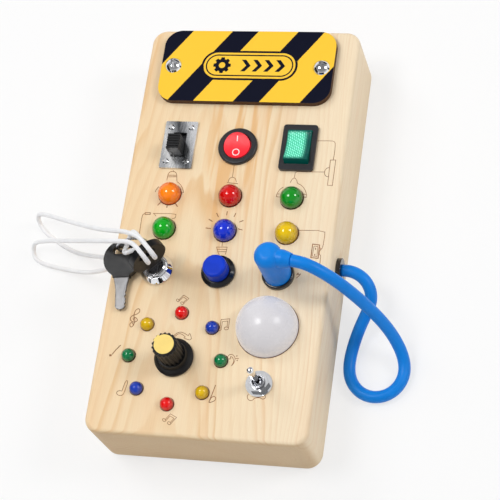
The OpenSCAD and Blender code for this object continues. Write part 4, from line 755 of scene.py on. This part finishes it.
# Strokes of the burnt drawings: width, whether it closes, and points on the face in millimetres
ART = [
    [0.4, 0, [[-27.3, 25.0], [-27.1, 24.2]]],
    [0.4, 0, [[-29.4, 22.7], [-29.1, 23.9], [-28.1, 24.5], [-26.7, 24.5], [-25.8, 23.7], [-25.4, 22.8]]],
    [0.45, 0, [[-29.4, 22.6], [-25.4, 22.7]]],
    [0.45, 0, [[-29.4, 21.8], [-25.4, 22.0]]],
    [0.4, 0, [[-29.4, 22.7], [-29.5, 20.2]]],
    [0.4, 0, [[-25.4, 22.8], [-24.9, 19.9]]],
    [0.4, 0, [[-24.8, 19.7], [-23.3, 18.6], [-22.0, 17.0], [-21.3, 15.4], [-21.0, 14.6]]],
    [0.4, 0, [[-21.0, 14.6], [-22.3, 14.6]]],
    [0.4, 0, [[-32.6, 17.0], [-33.3, 16.1], [-33.7, 15.1], [-33.8, 14.4]]],
    [0.7, 0, [[-30.6, 9.7], [-31.7, 8.1]]],
    [0.7, 0, [[-27.5, 9.2], [-27.4, 7.2]]],
    [0.7, 0, [[-24.0, 9.5], [-22.7, 7.9]]],
    [0.45, 1, [[-36.7, 4.5], [-34.4, 4.6], [-34.3, 3.8], [-36.6, 3.7]]],
    [0.35, 0, [[-33.0, 4.3], [-22.8, 4.6], [-22.8, 3.3], [-22.9, 2.5], [-24.2, 2.2]]],
    [0.35, 0, [[-33.0, 4.3], [-32.4, 4.0], [-31.7, 3.1]]],
    [0.4, 0, [[-36.6, 4.1], [-37.6, 3.7], [-37.8, 2.5], [-37.8, 0.1], [-37.7, -2.7], [-37.6, -6.5],
              [-37.6, -7.9]]],
    [0.38, 0, [[34.5, 41.0], [41.0, 41.2], [42.1, 40.8], [42.6, 39.8], [42.8, 35.8], [42.6, 32.2]]],
    [0.38, 1, [[41.4, 32.1], [43.7, 32.2], [43.7, 20.2], [41.6, 20.3]]],
    [0.38, 0, [[41.3, 28.6], [40.1, 28.1], [39.5, 26.8], [39.7, 25.3], [40.5, 24.4], [41.5, 24.2]]],
    [0.38, 0, [[39.4, 26.4], [27.7, 26.2], [26.9, 25.6], [26.8, 23.4]]],
    [0.38, 0, [[25.4, 20.9], [25.8, 22.4], [26.8, 23.4], [27.9, 22.4], [28.5, 20.8]]],
    [0.38, 0, [[28.5, 20.7], [30.5, 19.8], [31.9, 18.3], [32.7, 16.8], [33.1, 15.7]]],
    [0.38, 1, [[33.1, 15.7], [33.2, 14.4], [31.8, 14.4], [31.7, 15.8]]],
    [0.38, 0, [[22.6, 18.7], [21.5, 17.9], [20.7, 16.7], [20.2, 15.4], [20.2, 14.1], [21.7, 14.1]]],
    [0.38, 0, [[20.2, 15.4], [21.4, 15.5]]],
    [0.38, 0, [[31.3, -0.9], [43.2, -0.6], [43.3, -3.3], [43.2, -8.5], [42.1, -9.4]]],
    [0.6, 1, [[38.7, -6.9], [41.7, -7.2], [41.8, -13.2], [38.7, -13.0]]],
    [0.35, 1, [[39.4, -7.8], [41.1, -7.9], [41.2, -12.5], [39.2, -12.3]]],
    [0.6, 0, [[40.1, -8.5], [40.3, -9.4]]],
    [0.6, 0, [[40.1, -11.3], [40.3, -12.1]]],
    [0.38, 0, [[41.8, -8.3], [42.7, -9.0], [42.0, -9.8], [42.0, -11.3], [42.8, -11.9], [42.8, -13.7],
               [43.0, -17.4]]],
    [0.35, 0, [[-0.5, 28.2], [-0.4, 26.0], [-0.4, 22.7]]],
    [0.38, 0, [[-1.9, 20.3], [-1.7, 22.0], [-0.4, 22.7], [1.0, 22.1], [1.7, 20.3]]],
    [0.5, 0, [[-2.4, 20.0], [2.5, 19.6]]],
    [0.6, 0, [[-8.7, -1.5], [-6.3, -1.7]]],
    [0.6, 0, [[-7.9, 2.6], [-6.1, 1.6]]],
    [0.6, 0, [[-4.9, 5.6], [-3.8, 3.8]]],
    [0.6, 0, [[-0.3, 6.6], [-0.3, 4.7]]],
    [0.6, 0, [[3.6, 5.9], [3.0, 4.1]]],
    [0.6, 0, [[7.4, 2.6], [5.7, 1.8]]],
    [0.6, 0, [[7.6, -1.8], [5.6, -1.3]]],
    [0.38, 0, [[-0.3, -7.6], [-0.2, -9.7]]],
    [0.4, 0, [[-2.7, -10.1], [2.2, -9.9]]],
    [0.4, 0, [[-2.3, -11.1], [2.2, -11.0]]],
    [0.4, 0, [[-1.7, -12.2], [2.1, -12.0]]],
    [0.38, 0, [[-2.5, -10.0], [-1.7, -12.2], [-0.8, -13.6]]],
    [0.38, 0, [[2.1, -9.8], [2.0, -12.0], [1.8, -13.3]]],
    [0.45, 0, [[33.6, -21.1], [34.4, -19.9], [34.1, -21.1], [35.6, -20.3], [33.8, -22.5]]],
    [0.38, 0, [[-15.1, -51.3], [-14.2, -49.8], [-12.4, -48.9], [-10.8, -49.2], [-8.6, -50.4]]],
    [0.38, 0, [[-8.6, -50.4], [-8.1, -49.0], [-6.7, -52.4], [-10.6, -51.6], [-9.8, -51.0]]],
    [0.38, 0, [[-9.8, -51.0], [-11.2, -50.0], [-12.3, -49.6], [-13.6, -50.1], [-14.6, -51.5]]],
    [0.38, 0, [[9.5, -59.0], [9.7, -58.1], [10.4, -57.5], [11.5, -57.4], [12.7, -58.6], [12.9, -59.9],
               [12.5, -61.3], [11.6, -62.7], [12.4, -60.9], [12.3, -59.7], [11.5, -58.5], [10.6, -58.4],
               [11.1, -59.2], [10.6, -59.6], [10.1, -59.1]]],
    [0.8, 0, [[13.2, -57.9], [13.6, -58.1]]],
    [0.8, 0, [[13.6, -59.8], [14.0, -60.0]]],
    [0.45, 0, [[12.8, -59.2], [14.4, -59.0]]],
    [0.55, 0, [[6.3, -71.0], [5.6, -74.3], [4.6, -78.6]]],
    [0.45, 0, [[4.6, -78.5], [5.2, -76.5], [6.3, -75.8], [7.2, -76.3], [7.2, -77.4], [6.2, -78.2],
               [4.7, -78.7]]],
    [0.4, 0, [[20.6, -73.9], [20.2, -75.0], [20.7, -76.2], [21.7, -76.7], [22.7, -76.5], [23.3, -75.5],
              [25.6, -75.1], [26.5, -75.7], [27.5, -75.6], [28.0, -74.7], [27.4, -73.8]]],
    [0.5, 0, [[-34.4, -47.8], [-34.9, -46.8], [-34.4, -45.9], [-33.5, -46.2], [-33.2, -47.3], [-33.9, -48.0],
              [-34.4, -47.8]]],
    [0.5, 0, [[-33.2, -47.3], [-32.7, -45.0], [-33.8, -42.9], [-33.5, -40.6], [-32.5, -39.6], [-31.6, -39.8],
              [-31.4, -41.0], [-32.4, -42.1], [-34.2, -42.7], [-35.2, -43.9], [-34.6, -45.3], [-33.0, -45.8],
              [-31.8, -45.1], [-32.0, -44.1], [-33.1, -43.5], [-33.9, -44.2], [-33.3, -45.0]]],
    [1.3, 0, [[-41.4, -61.0], [-40.4, -60.9]]],
    [0.6, 0, [[-40.2, -60.5], [-39.0, -58.5], [-37.2, -56.2]]],
    [0.38, 0, [[-33.2, -76.2], [-32.3, -71.5], [-31.2, -71.7], [-31.8, -75.3], [-32.4, -78.0], [-34.2, -78.2],
               [-35.3, -77.5], [-35.3, -76.5], [-34.2, -76.0], [-33.2, -76.2]]],
]


NOTE_WIDTH = 0.36


def joined_notes(x, y, size, lean):
    """Strokes of two joined notes drawn in outline, turned by lean degrees about the first note's foot."""
    frame_line = [(0.0, 0.10), (0.0, 1.05), (0.86, 1.18), (0.86, 0.20)]
    inner_line = [(0.15, 0.16), (0.15, 0.84), (0.71, 0.93), (0.71, 0.26)]
    strokes = [(0, frame_line), (0, inner_line)]
    for foot_x, foot_y in ((-0.06, 0.05), (0.66, 0.15)):
        strokes.append((1, [(foot_x + 0.22 * math.cos(0.52 * k), foot_y + 0.15 * math.sin(0.52 * k))
                            for k in range(12)]))
    c, d = math.cos(math.radians(lean)) * size, math.sin(math.radians(lean)) * size
    return [[NOTE_WIDTH, closed, [[x + c * u - d * v, y + d * u + c * v] for u, v in line]]
            for closed, line in strokes]


NOTES = (joined_notes(4.4, -46.9, 4.2, 0) + joined_notes(-15.6, -35.2, 3.3, -38)
         + joined_notes(-13.0, -87.6, 3.6, -35))
PROUD = 0.03
SUNK = 0.05
THIN = 0.62  # the share of each stroke's width that is drawn
STAGGER = 0.0006  # keeps strokes that cross from lying in one plane
strips = []
for order, (width, closed, stroke) in enumerate(ART + NOTES):
    line = [Vector(p) for p in stroke]
    if not closed and len(line) > 4:
        line = eased(line)
    strips.append(ribbon(line, width * THIN, FACE + PROUD + STAGGER * (order % 9), FACE - SUNK, bool(closed)))
points, faces = merged(strips)
piece("burnt_lines", points, faces, "board", "pine", BURNT, smooth=False)


def ring_strip(x, y, inner, width, painted_shadow_breadth, top=FACE + PROUD):
    """A burnt edge round a hole, broader towards the lower right, where the photograph shows it; that extra
    breadth is painted shadow beside the part in the hole.
    """
    points, faces = [], []
    steps = 96
    for k in range(steps):
        turn = 2 * math.pi * k / steps
        # Painted shadow: the rim widens towards the lower right.
        facing = 0.5 + 0.5 * math.cos(turn + math.radians(50))
        wide = width * (0.35 + painted_shadow_breadth * facing) * (0.85 + 0.3 * rng.random())
        for r in (inner, inner + wide):
            points += [(x + r * math.cos(turn), y + r * math.sin(turn), z) for z in (top, FACE - SUNK)]
    for k in range(steps):
        a, b = 4 * k, 4 * ((k + 1) % steps)
        faces += [(a, b, b + 1, a + 1), (a + 2, a + 3, b + 3, b + 2), (a, a + 2, b + 2, b),
                  (a + 1, b + 1, b + 3, a + 3)]
    return points, faces


BIG = [(x, y) for y in LAMP_ROWS for x in COLUMNS]
SMALL = [(DIAL[0] + DIAL_RING * math.sin(math.radians(45 * i)),
          DIAL[1] + DIAL_RING * math.cos(math.radians(45 * i))) for i in range(8)]
rims = [ring_strip(x, y, inner=5.0, width=0.22, painted_shadow_breadth=1.0) for x, y in BIG]
rims += [ring_strip(x, y, inner=2.95, width=0.18, painted_shadow_breadth=1.0) for x, y in SMALL]
rims.append(ring_strip(DOME[0], DOME[1], inner=13.05, width=0.30, painted_shadow_breadth=0.9))
points, faces = merged(rims)
piece("rims_burnt_and_shaded", points, faces, "board", "pine", RIM_BURNT_AND_SHADED, smooth=False)

# ---------------------------------------------------------------- sign badge


def slab(outline, top, bottom):
    """A flat plate from an outline in X and Y."""
    n = len(outline)
    points = [(x, y, top) for x, y in outline] + [(x, y, bottom) for x, y in outline]
    faces = [tuple(range(n)), tuple(range(2 * n - 1, n - 1, -1))]
    faces += [(k, n + k, n + (k + 1) % n, (k + 1) % n) for k in range(n)]
    return points, faces


def rounded(cx, cy, w, h, r, steps=12):
    """Outline of a rectangle with round corners, without doubled points where its sides have no length."""
    outline = []
    for sx, sy, start in ((1, 1, 0), (-1, 1, 90), (-1, -1, 180), (1, -1, 270)):
        for k in range(steps + 1):
            a = math.radians(start + 90 * k / steps)
            point = (cx + sx * (w / 2 - r) + r * math.cos(a), cy + sy * (h / 2 - r) + r * math.sin(a))
            if not outline or min(math.dist(point, outline[-1]), math.dist(point, outline[0])) > 1e-6:
                outline.append(point)
    return outline


def gear(cx, cy, outer, inner, teeth):
    outline = []
    for k in range(teeth):
        middle = 2 * math.pi * k / teeth
        for r, shift in ((inner, -0.30), (outer, -0.18), (outer, 0.18), (inner, 0.30)):
            outline.append((cx + r * math.cos(middle + shift), cy + r * math.sin(middle + shift)))
    return outline


badge_x, badge_y = 0.2, 75.3
BADGE_LIFT = 0.02  # each layer of the badge above the one below
HUB_X = -12.2
CHEVRON_X, CHEVRON_STEP, CHEVRON_H, CHEVRON_W = -3.6, 5.2, 2.9, 2.0
piece("badge_edge",
      *slab(rounded(badge_x, badge_y, 43.5, 14.6, 7.2), PLATE_TOP + BADGE_LIFT, PLATE_TOP - SUNK),
      "board", "sign_paint", PRINT_DARK, smooth=False)
piece("badge_field",
      *slab(rounded(badge_x, badge_y, 41.5, 12.6, 6.2), PLATE_TOP + 2 * BADGE_LIFT, PLATE_TOP - 0.03),
      "board", "sign_paint", PRINT_YELLOW, smooth=False)
marks = [ribbon([Vector(p) for p in rounded(badge_x, badge_y, 39.0, 10.1, 5.0)], 0.6,
                PLATE_TOP + 3 * BADGE_LIFT, PLATE_TOP, True)]
marks.append(slab(gear(HUB_X, badge_y, 4.0, 3.1, 8), PLATE_TOP + 3 * BADGE_LIFT, PLATE_TOP))
for k in range(4):
    x = CHEVRON_X + CHEVRON_STEP * k
    top, foot = badge_y + CHEVRON_H, badge_y - CHEVRON_H
    marks.append(slab([(x, top), (x + CHEVRON_W, top), (x + CHEVRON_W + 2.4, badge_y), (x + CHEVRON_W, foot),
                       (x, foot), (x + 2.4, badge_y)], PLATE_TOP + 3 * BADGE_LIFT, PLATE_TOP))
points, faces = merged(marks)
piece("badge_marks", points, faces, "board", "sign_paint", PRINT_DARK, smooth=False)
piece("badge_hub", *slab(rounded(HUB_X, badge_y, 2.9, 2.9, 1.45), PLATE_TOP + 0.075, PLATE_TOP + 0.02),
      "board", "sign_paint", PRINT_YELLOW, smooth=False)


# ---------------------------------------------------------------- marks on the round rocker

DISH = 20.0  # radius of the paddle's dished top
DISH_CENTRE = 22.3  # height of that radius's centre above the face, square to the paddle
REST_TILT = math.radians(8)


def on_paddle(x, y, lift):
    """A point on the dished red paddle, lift millimetres above its skin."""
    z = DISH_CENTRE - math.sqrt(DISH * DISH - y * y) + lift
    c, d = math.cos(REST_TILT), math.sin(REST_TILT)
    return (x, SWITCH_ROW + y * c - z * d, FACE + y * d + z * c)


def paddle_strip(line, width, closed):
    strip, sides = ribbon([Vector(p) for p in line], width, 0.035, -0.03, closed)
    return [on_paddle(x, y, z) for x, y, z in strip], sides


mark_i = paddle_strip([(0, 1.9 + 2.4 * k / 6) for k in range(7)], 0.42, False)
mark_o = paddle_strip([(1.45 * math.cos(math.radians(10 * k)), -3.1 + 1.45 * math.sin(math.radians(10 * k)))
                       for k in range(36)], 0.42, True)
points, faces = merged([mark_i, mark_o])
piece("rocker_marks", points, faces, "round_rocker", "red_plastic", PRINT_WHITE, smooth=False)

# ---------------------------------------------------------------- stage and light


PAPER_GREY = 0.92
PAPER_WHITE = 0.68  # how far the paper turns plain white for the camera, gloss and glass
SKY_LEVEL = 0.40


def floor_material():
    """White paper that keeps the shadow, and shows white to the camera, gloss and glass."""
    material = bpy.data.materials.new("floor_paper")
    material.use_nodes = True
    tree = material.node_tree
    tree.nodes.clear()
    paper = tree.nodes.new("ShaderNodeBsdfDiffuse")
    paper.inputs[0].default_value = (PAPER_GREY, PAPER_GREY, PAPER_GREY, 1)
    white = tree.nodes.new("ShaderNodeEmission")
    white.inputs[0].default_value = (1, 1, 1, 1)
    path = tree.nodes.new("ShaderNodeLightPath")
    total = path.outputs["Is Camera Ray"]
    for kind in ("Is Glossy Ray", "Is Transmission Ray"):
        adder = tree.nodes.new("ShaderNodeMath")
        adder.operation = "MAXIMUM"
        tree.links.new(total, adder.inputs[0])
        tree.links.new(path.outputs[kind], adder.inputs[1])
        total = adder.outputs[0]
    share = tree.nodes.new("ShaderNodeMath")
    share.operation = "MULTIPLY"
    share.inputs[1].default_value = PAPER_WHITE
    tree.links.new(total, share.inputs[0])
    mix = tree.nodes.new("ShaderNodeMixShader")
    tree.links.new(share.outputs[0], mix.inputs[0])
    tree.links.new(paper.outputs[0], mix.inputs[1])
    tree.links.new(white.outputs[0], mix.inputs[2])
    tree.links.new(mix.outputs[0], tree.nodes.new("ShaderNodeOutputMaterial").inputs[0])
    return material


def stage_plane(name, centre, size, facing, material):
    mesh = bpy.data.meshes.new(name)
    w, h = size[0] / 2, size[1] / 2
    mesh.from_pydata([(-w, -h, 0), (w, -h, 0), (w, h, 0), (-w, h, 0)], [], [(0, 1, 2, 3)])
    mesh.materials.append(material)
    plane = bpy.data.objects.new(name, mesh)
    plane.location = centre
    plane.rotation_mode = "QUATERNION"
    plane.rotation_quaternion = Vector(facing).to_track_quat("Z", "Y")
    scene.collection.objects.link(plane)
    return plane


stage_plane("floor", (0, 0, -0.0002), (9, 9), (0, 0, 1), floor_material())


def only_mirrored(plane):
    """Leaves a plane to be seen in gloss alone."""
    plane.visible_camera = False
    plane.visible_diffuse = False
    plane.visible_shadow = False
    plane.visible_transmission = False


def softbox(name, place, target, width, height, power, glossy=True):
    data = bpy.data.lights.new(name, "AREA")
    data.shape = "ELLIPSE"
    data.size, data.size_y = width, height
    data.energy = power
    lamp = bpy.data.objects.new(name, data)
    lamp.visible_glossy = glossy
    lamp.location = place
    lamp.rotation_mode = "QUATERNION"
    lamp.rotation_quaternion = (Vector(target) - Vector(place)).to_track_quat("-Z", "Y")
    scene.collection.objects.link(lamp)
    return lamp


world = bpy.data.worlds.new("world")
scene.world = world
world.use_nodes = True
tree = world.node_tree
sky = tree.nodes["Background"]
path = tree.nodes.new("ShaderNodeLightPath")
seen = path.outputs["Is Camera Ray"]
for kind in ("Is Glossy Ray", "Is Transmission Ray"):
    adder = tree.nodes.new("ShaderNodeMath")
    adder.operation = "MAXIMUM"
    tree.links.new(seen, adder.inputs[0])
    tree.links.new(path.outputs[kind], adder.inputs[1])
    seen = adder.outputs[0]
level = tree.nodes.new("ShaderNodeMix")
tree.links.new(seen, level.inputs[0])
level.inputs[2].default_value = SKY_LEVEL
spot = tree.nodes.new("ShaderNodeTexCoord").outputs["Generated"]
split = tree.nodes.new("ShaderNodeSeparateXYZ")
tree.links.new(spot, split.inputs[0])
ceiling = tree.nodes.new("ShaderNodeValToRGB")
for (position, value), element in zip(((0.0, 1.0), (1.0, 0.20)), ceiling.color_ramp.elements):
    element.position = position
    element.color = (value, value, value, 1)
for position, value in ((0.25, 1.0), (0.42, 0.62), (0.62, 0.34), (0.86, 0.26)):
    ceiling.color_ramp.elements.new(position).color = (value, value, value, 1)
tree.links.new(split.outputs[2], ceiling.inputs[0])
camera_white = tree.nodes.new("ShaderNodeMath")
camera_white.operation = "MAXIMUM"
tree.links.new(ceiling.outputs[0], camera_white.inputs[0])
tree.links.new(path.outputs["Is Camera Ray"], camera_white.inputs[1])
tree.links.new(camera_white.outputs[0], level.inputs[3])
sky.inputs[0].default_value = (1, 1, 1, 1)
tree.links.new(level.outputs[0], sky.inputs[1])

softbox("box_left", BACK * 0.79 - RIGHT * 0.53 + UP * 0.36, target=(0, 0, 0.03),
        width=0.34, height=0.34, power=3.3)
softbox("box_right", BACK * 0.74 + RIGHT * 0.56 + UP * 0.40, target=(0, 0, 0.03),
        width=0.30, height=0.32, power=2.5)
softbox("key", (-0.85, 0.55, 1.15), target=(0, 0, 0.02), width=0.6, height=0.6, power=4.6, glossy=False)

dark = emitting("flag", (0.02, 0.02, 0.022, 1), 1.0)
for name, centre, size in (
        ("flag_left", (-0.55, -0.10, 0.22), (0.7, 0.34)),
        ("flag_near", (0.05, -0.80, 0.30), (0.9, 0.30)),
        ("flag_far", (0.15, 0.75, 0.25), (0.8, 0.26)),
        ("flag_corner", (-0.52, -0.60, 0.06), (0.22, 0.40)),
        ("flag_right", (0.80, 0.20, 0.08), (0.24, 0.40))):
    flag = stage_plane(name, centre, size, Vector((0, 0, 0.03)) - Vector(centre), dark)
    only_mirrored(flag)

card = stage_plane("card_overhead", (-0.27, 0.31, 0.9), (0.26, 0.42), (0.27, -0.31, -0.87),
                   emitting("card", (1, 1, 1, 1), 0.70))
only_mirrored(card)

scene.view_settings.view_transform = "Standard"
